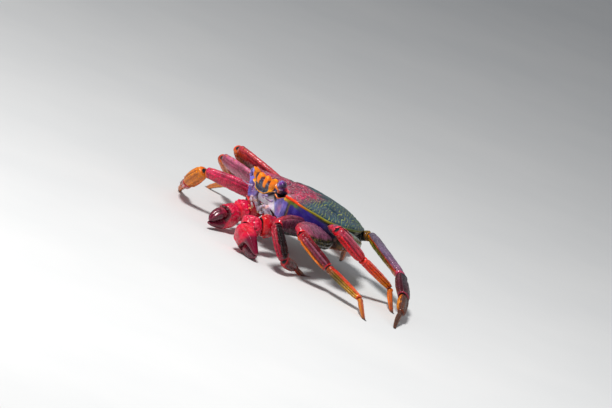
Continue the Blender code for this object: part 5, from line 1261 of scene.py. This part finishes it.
def make_claw(name):
    c = CLAWS[name]
    axm, axc, axp = unit(np.subtract(c["m1"], c["m0"])), unit(np.subtract(c["c1"], c["m1"])), unit(np.subtract(c["tip"], c["c1"]))
    rng = np.random.default_rng(len(name) + (5 if name[-1] == "l" else 9))
    dark_arc = C(0.014, 0.040, 0.030)
    # base
    g = Seg(c["base"], c["m0"], c["em"], CL_BASE, nu=60, nv=60, cap=0.2)
    g.push(-0.006 * bump(g.U, 0.45, 0.04) + 0.003 * fbm(g.P, 20.0, 3, 1) + 0.004 * bump(g.U, 0.38, 0.03) + 0.004 * bump(g.U, 0.54, 0.03))
    g.socket(np.array(c["m0"]), axm, d0=-0.008, depth=0.02, lip=0.002, width=0.010)
    col, ln = claw_paint(g, C(0.55, 0.05, 0.06), 0.3)
    col = mixc(col, C(0.60, 0.36, 0.34), ss(-g.CE, 0.1, 0.9) * 0.6)
    col, msk = finish_paint(g, col, dict(rim=(0.66, 0.05, 0.06), hollow=dark_arc), 0.3, 0.4, 0.1)
    sk = Skin()
    g.into(sk, col, msk)
    sk.make(name + "_hip", name + "_base", [M_CLAW, M_HORN])
    # merus
    g = Seg(c["m0"], c["m1"], c["em"], CL_MERUS, nu=110, nv=96, cap=0.14, cap_end=0.08)
    f = g.loc[..., 2] / 0.0165 + 0.8 * noise(g.P, 26.0, 2) - 0.5 * g.CE ** 2
    f = f - np.floor(f)
    keep = ss(noise(g.P, 40.0, 3), -0.3, 0.1) * ss(g.U, 0.12, 0.2) * (1 - ss(g.U, 0.82, 0.9))
    wr = np.exp(-((f - 0.5) / 0.2) ** 2) * keep
    g.push(0.0035 * wr + 0.003 * fbm(g.P, 18.0, 3, 4) + 0.006 * bump(g.CE, 1.0, 0.14) * ss(g.U, 0.2, 0.4))
    g.socket(np.array(c["m1"]), axc, d0=-0.003, depth=0.014, lip=0.002, width=0.008)
    col, ln = claw_paint(g, C(0.62, 0.010, 0.030), 0.0)
    # painted highlight: pale colour on the wrinkle crests
    col = mixc(col, PALE * 0.85, wr * 0.30)
    col, msk = finish_paint(g, col, dict(rim=(0.80, 0.05, 0.05), hollow=dark_arc), 0.45, 0.3, 0.0)
    sk = Skin()
    g.into(sk, col, msk)
    p, n, _, _ = surface_pick(g, np.array([0.62, 0.72, 0.80, 0.86, 0.80, 0.72]), np.array([0, 0, 0, 0, np.pi, np.pi]))
    spines(sk, p - n * 0.003, n * 0.9 + g.ax * 0.5, np.array([0.012, 0.014, 0.018, 0.020, 0.014, 0.011]), 0.0065, CRIM, C(0.95, 0.45, 0.30), mi=1, sides=8)
    sk.make(name + "_arm", name + "_merus", [M_CLAW, M_HORN])
    # carpus
    g = Seg(c["m1"], c["c1"], c["em"], CL_CARPUS, nu=110, nv=110, cap=0.22, cap_end=0.14, expo=2.1)
    q = g.TH / (2 * np.pi) * 17 + 0.9 * noise(g.P, 18.0, 6)
    fr = q - np.floor(q)
    keep = ss(noise(g.P, 24.0, 7), -0.35, 0.15) * ss(g.U, 0.14, 0.28) * (1 - ss(g.U, 0.84, 0.92))
    wr = np.exp(-((fr - 0.5) / 0.20) ** 2) * keep
    gran = np.clip(noise(g.P, 62.0, 8), 0.1, 1) ** 1.3
    g.push(0.0070 * wr + 0.0055 * gran * keep + 0.0045 * fbm(g.P, 14.0, 2, 9) + 0.0030 * fbm(g.P, 44.0, 2, 19))
    g.push(0.002 * bump(g.U, 0.100, 0.04) - 0.002 * bump(g.U, 0.165, 0.03))
    g.socket(np.array(c["c1"]), axp, d0=-0.003, depth=0.016, lip=0.002, width=0.008)
    col, ln = claw_paint(g, CRIM, 0.0, seed=1)
    # painted highlight on the wrinkle crests, painted shade along one side of each
    col = mixc(col, PALE, wr ** 2 * 0.30)
    col = mixc(col, C(0.22, 0.002, 0.012), np.exp(-((fr - 0.02) / 0.12) ** 2) * keep * 0.6)
    arc = bump(g.U + 0.10 * np.sin(g.TH * 2 + 0.8), 0.36, 0.014) * ss(noise(g.P, 12.0, 17), -0.5, 0.0) + bump(g.U - 0.06 * np.cos(g.TH * 2), 0.66, 0.012) * ss(noise(g.P, 12.0, 18), -0.3, 0.2)
    col = mixc(col, dark_arc, np.clip(arc, 0, 1) * 0.85)
    col, msk = finish_paint(g, col, dict(rim=(0.90, 0.05, 0.10), hollow=dark_arc), 0.50, 0.35, 0.0)
    col, msk = root_band(g, col, msk, 0.014, dark_arc, (0.85, 0.03, 0.06))
    sk = Skin()
    g.into(sk, col, msk)
    th_in = 0.9 if name == "claw_l" else -0.9
    p, n, _, _ = surface_pick(g, np.array([0.70, 0.60, 0.52]), np.array([th_in, th_in + 0.3, th_in - 0.3]) % (2 * np.pi))
    spines(sk, p - n * 0.004, n + g.ax * 0.4, np.array([0.030, 0.016, 0.013]), np.array([0.011, 0.007, 0.006]), CRIM, C(0.98, 0.50, 0.25), mi=1, sides=10)
    sk.make(name + "_wrist", name + "_carpus", [M_CLAW, M_HORN])

    # palm with its fixed finger
    a, b = np.asarray(c["c1"], float), np.asarray(c["tip"], float)
    ax, length = unit(b - a), np.linalg.norm(b - a)
    e = unit(np.asarray(c["ep"]) - np.dot(c["ep"], ax) * ax)
    t = np.cross(ax, e)
    nu, nv = 170, 120
    a1 = np.linspace(0.14, 1, 22) * np.pi / 2
    u = np.concatenate([0.13 * (1 - np.cos(a1)), np.linspace(0.13, 0.94, nu - 36)[1:], 0.94 + 0.055 * np.sin(np.linspace(0, 1, 17)[1:] * np.pi / 2 * 0.92)])
    k = np.sqrt(np.clip(1 - ((0.13 - np.minimum(u, 0.13)) / 0.13) ** 2, 0, 1)) * np.sqrt(np.clip(1 - ((np.maximum(u, 0.93) - 0.93) / 0.07) ** 2, 0.02, 1))
    val = hermite(PALM_ROWS, u)
    up_, lo, tt = val[:, 0], val[:, 1], val[:, 2] * k
    mid_, hw = (up_ - lo) / 2, (up_ + lo) / 2 * k
    th = np.arange(nv) / nv * 2 * np.pi
    cs, sn = np.cos(th), np.sin(th)
    cc, sc = np.sign(cs) * np.abs(cs) ** (2 / 2.3), np.sign(sn) * np.abs(sn) ** (2 / 2.3)
    g = Seg(a, b, e, [(0, .05, .05, .05), (1, .05, .05, .05)], nu=40, nv=nv)
    g.u, g.U = u, np.repeat(u[:, None], nv, 1)
    curve = 0.010 * ss(u, 0.5, 1.0)
    Cc = a + ax * (length * u)[:, None] + e * (mid_ + curve)[:, None]
    ee, te = cc[None] * hw[:, None], sc[None] * tt[:, None]
    g.P = Cc[:, None] + ee[..., None] * e + te[..., None] * t
    g.CE, g.ST, g.TH = np.repeat(cs[None], len(u), 0), np.repeat(sn[None], len(u), 0), np.repeat(th[None], len(u), 0)
    g.loc = np.stack([ee + mid_[:, None], te, g.U * length], -1)
    g.first, g.last = a.copy(), b + e * (mid_[-1] * 0.6 + 0.008)
    g.cup, g.lip = np.zeros(g.U.shape), np.zeros(g.U.shape)
    U = g.U
    body = ss(U, 0.10, 0.20) * (1 - ss(U, 0.44, 0.52))
    q = g.TH / (2 * np.pi) * 19 + 0.8 * noise(g.P, 15.0, 11) + 0.6 * U
    fr = q - np.floor(q)
    keep = ss(noise(g.P, 22.0, 12), -0.35, 0.10) * body
    wr = np.exp(-((fr - 0.5) / 0.19) ** 2) * keep * ss(g.CE, -0.35, 0.2)
    g.push(0.0075 * wr + 0.0050 * fbm(g.P, 12.0, 3, 13) * body + 0.0034 * fbm(g.P, 42.0, 3, 23) * body)
    g.push(0.0045 * bump(g.TH, np.pi * 1.10, 0.10) * ss(U, 0.16, 0.3) * (1 - ss(U, 0.88, 0.96)))      # keel of the lower face
    # bite teeth on the upper side of the fixed finger, and its hollowed tip
    fing = ss(U, 0.55, 0.59) * (1 - ss(U, 0.90, 0.95))
    tooth = np.clip(np.sin((U - 0.55) * 2 * np.pi / 0.075 + 0.8 * noise(g.P, 9.0, 16)), 0, 1) ** 0.8 * (1 - 0.6 * ss(U, 0.6, 0.95))
    g.push(0.0055 * tooth * fing * bump(g.CE, 1.0, 0.16) - 0.005 * ss(U, 0.90, 0.95) * bump(g.CE, 1.0, 0.35))
    g.push(0.002 * bump(U, 0.050, 0.022) - 0.002 * bump(U, 0.090, 0.018))
    # socket of the moving finger
    f0 = a + ax * length * 0.495 + e * 0.050
    d = (g.P - f0) @ ax
    reg = ss(g.CE, 0.1, 0.5) * ss(U, 0.42, 0.47) * (1 - ss(U, 0.55, 0.59))
    g.push(0.005 * bump(d, -0.020, 0.010) * reg)
    col, ln = claw_paint(g, CRIM, 0.0, seed=2)
    # painted highlight on the wrinkle crests, painted shade along one side of each
    col = mixc(col, PALE, wr ** 2 * 0.28)
    col = mixc(col, C(0.22, 0.002, 0.012), np.exp(-((fr - 0.02) / 0.12) ** 2) * keep * 0.55)
    col = mixc(col, C(0.90, 0.05, 0.07), bump(g.CE, -1.0, 0.3) * body * 0.5)
    gum = ss(d, -0.014, -0.006) * reg
    col = mixc(col, C(0.13, 0.004, 0.020), gum)
    col = mixc(col, WINE, ss(U, 0.50, 0.62) * 0.94)
    col = mixc(col, C(0.50, 0.24, 0.27), tooth * fing * bump(g.CE, 1.0, 0.12) * 0.7)
    col = mixc(col, C(0.34, 0.10, 0.13), ss(U, 0.965, 0.99))
    msk = np.stack([0.50 * (1 - ss(U, 0.48, 0.56)), 0.40 + 0 * U, 0 * U, 1 + 0 * U], -1)
    col, msk = root_band(g, col, msk, 0.008, dark_arc, (0.85, 0.03, 0.06))
    sk = Skin()
    g.into(sk, col, msk)
    sk.make(name + "_hand", name + "_palm", [M_CLAW, M_HORN])
    # moving finger
    f1 = a + ax * length * 0.985 + e * 0.010
    rows = [(0.0, 0.036, 0.034, 0.044), (0.3, 0.046, 0.042, 0.046), (0.7, 0.036, 0.030, 0.034), (1.0, 0.016, 0.014, 0.016)]
    g = Seg(f0, f1, e, rows, nu=110, nv=72, cap=0.16, bow=0.016)
    U = g.U
    tooth = np.clip(np.sin((U - 0.20) * 2 * np.pi / 0.11), 0, 1) ** 0.8 * ss(U, 0.2, 0.26) * (1 - ss(U, 0.82, 0.88))
    g.push(0.0034 * tooth * bump(g.CE, -1.0, 0.18) + 0.006 * ss(U, 0.2, 0.35) * (1 - ss(U, 0.8, 0.95)) * ss(-g.CE, 0.2, 0.8))
    g.push(0.0026 * np.cos(g.TH * 6) * ss(U, 0.15, 0.3) * (1 - ss(U, 0.8, 0.9)) * ss(g.CE, -0.3, 0.3) + 0.002 * fbm(g.P, 26.0, 3, 15))
    g.push(0.005 * bump(U, 0.10, 0.04))
    col = mixc(C(0.40, 0.006, 0.05), WINE, ss(U, 0.10, 0.45))
    # painted highlight along the finger's six ridges
    col = mixc(col, C(0.45, 0.02, 0.10), np.clip(np.cos(g.TH * 6), 0, 1) * 0.35 * ss(g.CE, -0.3, 0.3))
    col = mixc(col, C(0.50, 0.24, 0.27), tooth * bump(g.CE, -1.0, 0.14) * 0.7)
    col = mixc(col, C(0.34, 0.10, 0.13), ss(U, 0.95, 0.99))
    msk = np.stack([0.25 + 0 * U, 0.4 + 0 * U, 0 * U, 1 + 0 * U], -1)
    col, msk = root_band(g, col, msk, 0.018, dark_arc, (0.55, 0.02, 0.06))
    sk = Skin()
    g.into(sk, col, msk)
    K = 26
    uu, tt_ = rng.uniform(0.45, 0.9, K), rng.choice([0.9, -0.9, 2.2, -2.2], K) + rng.normal(0, 0.2, K)
    p, n, _, _ = surface_pick(g, uu, tt_ % (2 * np.pi))
    spines(sk, p, n + g.ax, rng.uniform(0.005, 0.009, K), 0.0007, C(0.20, 0.08, 0.08), C(0.42, 0.28, 0.22), sides=3, mi=1)
    sk.make(name + "_thumb", name + "_finger", [M_CLAW, M_HORN])


for cw in CLAWS:
    make_claw(cw)


# ---- underside, tail flap, head parts -----------------------------------
def make_thorax():
    rows = [(0.0, 0.07, 0.055, 0.10), (0.2, 0.10, 0.080, 0.215), (0.42, 0.10, 0.095, 0.285),
            (0.62, 0.10, 0.090, 0.285), (0.82, 0.10, 0.070, 0.205), (1.0, 0.06, 0.045, 0.09)]
    g = Seg(b2w((0.405, 0, -0.175)), b2w((-0.455, 0, -0.115)), b2d((0, 0, 1)), rows, nu=200, nv=160, expo=2.7, cap=0.10)
    below = ss(-g.CE, -0.1, 0.3)
    y = g.loc[..., 1]
    cuts, cut_b = 0.0, 0.0
    for uc, lean in ((0.20, 0.35), (0.36, 0.20), (0.52, 0.05), (0.68, -0.12), (0.82, -0.30)):
        cuts = cuts + bump(g.U - lean * np.abs(y) * 0.5, uc, 0.012)
        cut_b = cut_b + bump(g.U - lean * np.abs(y) * 0.5, uc + 0.02, 0.014)
    g.push((-0.009 * cuts + 0.004 * cut_b) * below * ss(np.abs(y), 0.03, 0.07) - 0.006 * bump(y, 0, 0.010) * below + 0.003 * fbm(g.P, 16.0, 3, 400))
    col = mixc(C(0.52, 0.44, 0.46), C(0.66, 0.56, 0.48), 0.5 + 0.6 * noise(g.P, 9.0, 401))
    col = mixc(col, C(0.62, 0.20, 0.14), ss(np.abs(y), 0.16, 0.27) * 0.6)
    col = mixc(col, C(0.20, 0.12, 0.14), np.clip(cuts, 0, 1) * below * 0.8)
    col = mixc(col, C(0.10, 0.07, 0.08), ss(g.CE, 0.0, 0.5))
    msk = np.stack([0.5 * below, 0.35 + 0 * y, 0 * y, 0.8 + 0 * y], -1)
    sk = Skin()
    g.into(sk, col, msk)
    sk.make("breastplate", "thorax", [M_BELLY, M_HORN])


def make_abdomen():
    path = np.array([(-0.478, -0.105), (-0.492, -0.140), (-0.478, -0.185), (-0.420, -0.228), (-0.320, -0.258),
                     (-0.200, -0.280), (-0.080, -0.292), (0.030, -0.293), (0.058, -0.293)])
    half = np.array([0.110, 0.150, 0.165, 0.160, 0.140, 0.110, 0.080, 0.045, 0.012])
    x0 = np.arange(len(path))
    n = 180
    xs = np.linspace(0, len(path) - 1.001, n)
    f = hermite(np.column_stack([x0, path, half]), xs)
    cen = b2wa(f[:, 0], 0 * f[:, 0], f[:, 1])
    d = np.gradient(f[:, :2], axis=0)
    d /= np.linalg.norm(d, axis=1, keepdims=True)
    es = b2wa(-d[:, 1], 0 * xs, d[:, 0]) - b2w((0, 0, 0))
    ts = b2d((0, 1, 0))
    nv = 96
    th = np.arange(nv) / nv * 2 * np.pi
    cs, sn = np.cos(th), np.sin(th)
    cc, sc = np.sign(cs) * np.abs(cs) ** (2 / 3.0), np.sign(sn) * np.abs(sn) ** (2 / 3.0)
    seams = np.array([0.9, 1.9, 2.9, 3.9, 4.9, 5.9, 6.9])
    sg_ = xs[:, None] + 0 * th[None]
    step = np.min(np.abs(sg_[..., None] - seams), -1)
    nxt = np.clip(np.searchsorted(seams, xs), 0, len(seams) - 1)
    prev = np.where(nxt > 0, seams[nxt - 1], -0.1)
    ph = (xs - prev) / (seams[nxt] - prev)
    flare = 1 + 0.05 * np.sin(np.clip(ph, 0, 1) * np.pi)
    end = np.sqrt(np.clip(1 - ((0.10 - np.minimum(xs, 0.10)) / 0.11) ** 2, 0.05, 1))
    k = 0.0135 * end
    hw = f[:, 2] * flare * end
    P = cen[:, None] + (cc[None] * k[:, None])[..., None] * es[:, None] + (sc[None] * hw[:, None])[..., None] * ts
    g = Seg(cen[0], cen[-1], es[0], [(0, .05, .05, .05), (1, .05, .05, .05)], nu=40, nv=nv)
    g.P, g.u, g.U = P, xs / xs[-1], sg_ / xs[-1]
    g.CE, g.ST, g.TH = np.repeat(cs[None], n, 0), np.repeat(sn[None], n, 0), np.repeat(th[None], n, 0)
    g.loc = np.stack([0 * sg_, sc[None] * hw[:, None], sg_ * 0.08], -1)
    g.first, g.last = cen[0] - (cen[1] - cen[0]), cen[-1] + (cen[-1] - cen[-2]) * 0.6
    g.cup, g.lip = np.zeros(sg_.shape), np.zeros(sg_.shape)
    g.push(-0.0050 * np.exp(-(step / 0.045) ** 2) + 0.0030 * np.exp(-((step - 0.13) / 0.06) ** 2) + 0.0014 * fbm(P, 30.0, 3, 410))
    col = mixc(C(0.60, 0.46, 0.38), C(0.50, 0.34, 0.36), 0.5 + 0.7 * noise(P, 14.0, 411))
    col = mixc(col, C(0.10, 0.095, 0.050), (1 - ss(sg_, 1.4, 2.8)) * 0.9)
    col = mixc(col, C(0.78, 0.30, 0.10), ss(np.abs(sc)[None] + 0 * sg_, 0.86, 0.99) * 0.6)
    col = mixc(col, C(0.16, 0.09, 0.09), np.exp(-(step / 0.05) ** 2) * 0.85)
    msk = np.stack([0.45 + 0 * sg_, 0.4 + 0 * sg_, 0 * sg_, 0.85 + 0 * sg_], -1)
    sk = Skin()
    g.into(sk, col, msk)
    rng = np.random.default_rng(3)
    K = 260
    u = rng.uniform(0.10, 0.97, K)
    side = rng.choice([np.pi / 2, -np.pi / 2], K) % (2 * np.pi)
    p, nn, _, _ = surface_pick(g, u, side)
    spines(sk, p, nn + b2d((0.5, 0, -0.2)) + rng.normal(0, 0.2, (K, 3)), rng.uniform(0.006, 0.012, K), 0.0007, C(0.35, 0.22, 0.16), C(0.60, 0.45, 0.32), sides=3, mi=1)
    sk.make("tail_flap", "abdomen", [M_BELLY, M_HORN])


def make_eye(sd, sg):
    rows = [(0.0, 0.020, 0.020, 0.020), (0.22, 0.025, 0.025, 0.024), (0.40, 0.030, 0.030, 0.029), (0.56, 0.043, 0.042, 0.040), (0.80, 0.044, 0.043, 0.041), (1.0, 0.041, 0.041, 0.039)]
    root, end = ((0.430, 0.200, 0.030), (0.532, 0.312, 0.078)) if sg > 0 else ((0.430, -0.196, 0.010), (0.508, -0.284, 0.012))
    g = Seg(b2w(root), b2w(end), b2d((0, 0, 1)), rows if sg > 0 else scaled(rows, 0.88, 0.88), nu=110, nv=96, expo=2.0, cap=0.16, cap_end=0.40)
    U = g.U
    # the stalk laps over the eyeball in a scalloped edge
    edge = 0.47 + 0.05 * np.cos(g.TH) + 0.03 * np.cos(2 * g.TH)
    g.push(0.0028 * bump(U, edge - 0.02, 0.025) - 0.0022 * bump(U, edge + 0.02, 0.02) + 0.0016 * fbm(g.P, 40.0, 3, 420) * (1 - ss(U, edge - 0.03, edge)))
    ball = ss(U, edge - 0.006, edge + 0.012)
    stalk = mixc(C(0.52, 0.50, 0.56), C(0.62, 0.20, 0.20), ss(noise(g.P, 40.0, 421), -0.1, 0.5))
    inner = g.ST * sg                              # the side toward the brow
    stalk = mixc(stalk, C(0.95, 0.34, 0.012), ss(inner - 0.2 * g.CE, 0.0, 0.5) * ss(U, 0.12, 0.22))
    stalk = mixc(stalk, C(0.70, 0.74, 0.82), ss(-g.CE, 0.30, 0.7))
    dots = ss(noise(g.P, 95.0, 424), 0.10, 0.35)
    stalk = mixc(stalk, mixc(C(0.62, 0.02, 0.08), C(0.96, 0.84, 0.88), dots), ss(-inner + 0.5 * g.CE, -0.1, 0.4))
    eyec = mixc(C(0.20, 0.035, 0.30) if sg > 0 else C(0.16, 0.10, 0.40), C(0.060, 0.018, 0.12), ss(noise(g.P, 34.0, 422), -0.3, 0.4))
    eyec = mixc(eyec, C(0.46, 0.44, 0.92), ss(inner + 0.15 * g.CE, 0.20, 0.60) * (1 - ss(U, 0.92, 0.98)) * (0.95 if sg > 0 else 0.7))
    eyec = mixc(eyec, C(0.40, 0.04, 0.16), ss(noise(g.P, 60.0, 425), 0.25, 0.5) * 0.55)
    eyec = mixc(eyec, C(0.015, 0.008, 0.03), bump(U, 0.84, 0.06) * bump(g.CE, 0.1, 0.6) * 0.85)
    eyec = mixc(eyec, C(0.62, 0.68, 0.80), ss(-g.CE, 0.70, 0.92) * (1 - ss(U, 0.72, 0.80)) * 0.85)
    col = mixc(stalk, eyec, ball)
    msk = np.stack([0 * U, 0 * U, 0 * U, ball], -1)
    sk = Skin()
    g.into(sk, col, msk)
    rng = np.random.default_rng(8)
    K = 24
    p, n, _, _ = surface_pick(g, rng.uniform(0.36, 0.46, K), rng.uniform(-0.9, 0.9, K) % (2 * np.pi))
    spines(sk, p, n + g.ax * 0.6, rng.uniform(0.006, 0.010, K), 0.0007, C(0.30, 0.16, 0.12), C(0.5, 0.36, 0.26), sides=3, mi=1)
    # tooth that hugs the inner side of the ball
    cen = g.a + g.ax * g.L * 0.74
    ti = g.t * sg
    dd, tn = unit(ti * 0.8 - g.e * 0.6), unit(g.e * 0.8 + ti * 0.6)
    kk = 1.0 if sg > 0 else 0.88
    lo_, hi_ = cen + dd * 0.033 * kk - tn * 0.036 * kk, cen + dd * 0.033 * kk + tn * 0.030 * kk
    h = Seg(lo_, hi_, dd, [(0, .005, .005, .007), (0.45, .0100, .0095, .0125), (1, .004, .004, .005)], nu=48, nv=28, expo=2.0, cap=0.14, bow=0.014)
    h.push(0.0012 * fbm(h.P, 60.0, 2, 427))
    hc = mixc(C(0.98, 0.56, 0.02), C(0.94, 0.28, 0.012), ss(h.ST * sg, -0.2, 0.7)) if sg > 0 else mixc(C(0.34, 0.32, 0.80), C(0.16, 0.06, 0.30), h.U)
    h.into(sk, hc, np.broadcast_to(np.array([0, 0, 0, 0.35]), h.U.shape + (4,)))
    sk.make("eye_" + sd + "_stalk_and_ball", "eye_" + sd, [M_EYE, M_HORN])


def make_antenna(sd, sg):
    rows = [(0.0, 0.013, 0.013, 0.013), (0.12, 0.013, 0.013, 0.012), (0.20, 0.010, 0.010, 0.010), (0.27, 0.0105, 0.0105, 0.0105),
            (0.36, 0.0062, 0.0062, 0.0062), (0.45, 0.0056, 0.0056, 0.0056), (1.0, 0.0036, 0.0036, 0.0036)]
    g = Seg(b2w((0.470, sg * 0.200, -0.092)), b2w((0.560, sg * 0.238, -0.086)), b2d((0, 0, 1)), rows, nu=150, nv=28, expo=2.0, cap=0.06, cap_end=0.03, bow=-0.008)
    U = g.U
    ring = np.cos(U * 2 * np.pi / 0.032)
    g.push(0.0007 * ring * ss(U, 0.40, 0.46) - 0.002 * bump(U, 0.20, 0.012) - 0.002 * bump(U, 0.35, 0.012))
    col = mixc(C(0.50, 0.40, 0.52), C(0.30, 0.20, 0.34), ss(ring, -0.2, 0.6) * ss(U, 0.40, 0.46))
    col = mixc(col, C(0.42, 0.36, 0.55), 1 - ss(U, 0.16, 0.24))
    msk = np.stack([0.1 + 0 * U, 0.3 + 0 * U, 0 * U, 0.9 + 0 * U], -1)
    sk = Skin()
    g.into(sk, col, msk)
    # the small folded feeler beside it, in its pit under the brow
    for a, b, w in (((0.486, sg * 0.128, -0.082), (0.498, sg * 0.092, -0.086), 0.013), ((0.498, sg * 0.094, -0.086), (0.502, sg * 0.056, -0.100), 0.009),
                    ((0.502, sg * 0.058, -0.100), (0.494, sg * 0.100, -0.112), 0.0065)):
        h = Seg(b2w(a), b2w(b), b2d((0, 0, 1)), [(0, w, w, w), (0.5, w * 0.95, w * 0.95, w), (1, w * 0.7, w * 0.7, w * 0.7)], nu=30, nv=20, expo=2.0, cap=0.25)
        h.push(0.0008 * np.cos(h.U * 2 * np.pi * 6))
        h.into(sk, mixc(C(0.34, 0.31, 0.52), C(0.42, 0.26, 0.36), h.U), np.broadcast_to(np.array([0.1, 0.3, 0, 0.9]), h.U.shape + (4,)))
    sk.make("feelers_" + sd, "antenna_" + sd, [M_MOUTH, M_HORN])


def make_mouth(sd, sg):
    rows = [(0.0, 0.030, 0.030, 0.018), (0.12, 0.046, 0.040, 0.021), (0.3, 0.052, 0.044, 0.022), (0.50, 0.050, 0.045, 0.022), (0.62, 0.047, 0.045, 0.021),
            (0.85, 0.050, 0.050, 0.024), (1.0, 0.030, 0.034, 0.018)]
    g = Seg(b2w((0.335, sg * 0.105, -0.262)), b2w((0.462, sg * 0.098, -0.160)), b2d((0, sg, 0.1)), rows, nu=130, nv=84, expo=2.6, cap=0.10)
    U = g.U
    joint = bump(U + 0.10 * g.CE, 0.56, 0.014)
    slash = bump(g.CE + (U - 0.35) * 2.4, 0.0, 0.16) * ss(U, 0.10, 0.2) * (1 - ss(U, 0.86, 0.92))
    g.push(-0.0065 * joint + 0.0045 * slash + 0.0022 * fbm(g.P, 26.0, 3, 430) + 0.003 * bump(U, 0.90, 0.03) - 0.003 * bump(g.CE, 0.6, 0.12) * ss(U, 0.15, 0.3) * (1 - ss(U, 0.8, 0.9)))
    col = mixc(C(0.68, 0.68, 0.88), C(0.90, 0.88, 0.94), 0.5 + 0.7 * noise(g.P, 20.0, 431))
    col = mixc(col, C(0.72, 0.34, 0.20), bump(U, 0.93, 0.06) * 0.7)
    col = mixc(col, C(0.14, 0.09, 0.16), np.clip(joint, 0, 1) * 0.85)
    col = mixc(col, C(0.34, 0.16, 0.24), slash * 0.6)
    msk = np.stack([0.35 + 0 * U, 0.35 + 0 * U, 0.2 + 0 * U, 0.85 + 0 * U], -1)
    sk = Skin()
    g.into(sk, col, msk)
    # palp folded across the front
    pts = [(0.468, sg * 0.128, -0.162), (0.486, sg * 0.112, -0.176), (0.480, sg * 0.082, -0.205), (0.462, sg * 0.066, -0.232)]
    for i in range(3):
        w = (0.0135, 0.0115, 0.0095)[i]
        h = Seg(b2w(pts[i]), b2w(pts[i + 1]), b2d((0, sg, 0)), [(0, w, w, w * .9), (0.6, w * 1.02, w * 1.02, w * .9), (1, w * 0.8, w * 0.8, w * 0.75)], nu=36, nv=28, expo=2.1, cap=0.22)
        h.push(0.001 * fbm(h.P, 40.0, 2, 432))
        h.into(sk, mixc(C(0.62, 0.58, 0.72), C(0.66, 0.46, 0.42), h.U), np.broadcast_to(np.array([0.2, 0.3, 0, 0.9]), h.U.shape + (4,)))
    rng = np.random.default_rng(15)
    K = 150
    u = rng.uniform(0.10, 0.92, K)
    p, n, _, _ = surface_pick(g, u, np.where(rng.random(K) < 0.7, np.pi, 0.0) + rng.normal(0, 0.10, K))
    spines(sk, p, n + b2d((0.5, 0, 0.1)) + rng.normal(0, 0.2, (K, 3)), rng.uniform(0.010, 0.018, K), 0.0008, C(0.45, 0.30, 0.16), C(0.72, 0.56, 0.34), sides=3, mi=1)
    K = 40
    base = b2wa(*(np.array(pts[3])[:, None] + rng.normal(0, 0.004, (3, K))))
    spines(sk, base, b2d((0.15, -sg * 0.3, -1)) + rng.normal(0, 0.22, (K, 3)), rng.uniform(0.012, 0.020, K), 0.0007, C(0.45, 0.30, 0.16), C(0.72, 0.56, 0.34), sides=3, mi=1)
    sk.make("mouthpart_" + sd, "maxilliped_" + sd, [M_MOUTH, M_HORN])


make_thorax()
make_abdomen()
for sd, sg in (("l", 1), ("r", -1)):
    make_eye(sd, sg)
    make_antenna(sd, sg)
    make_mouth(sd, sg)
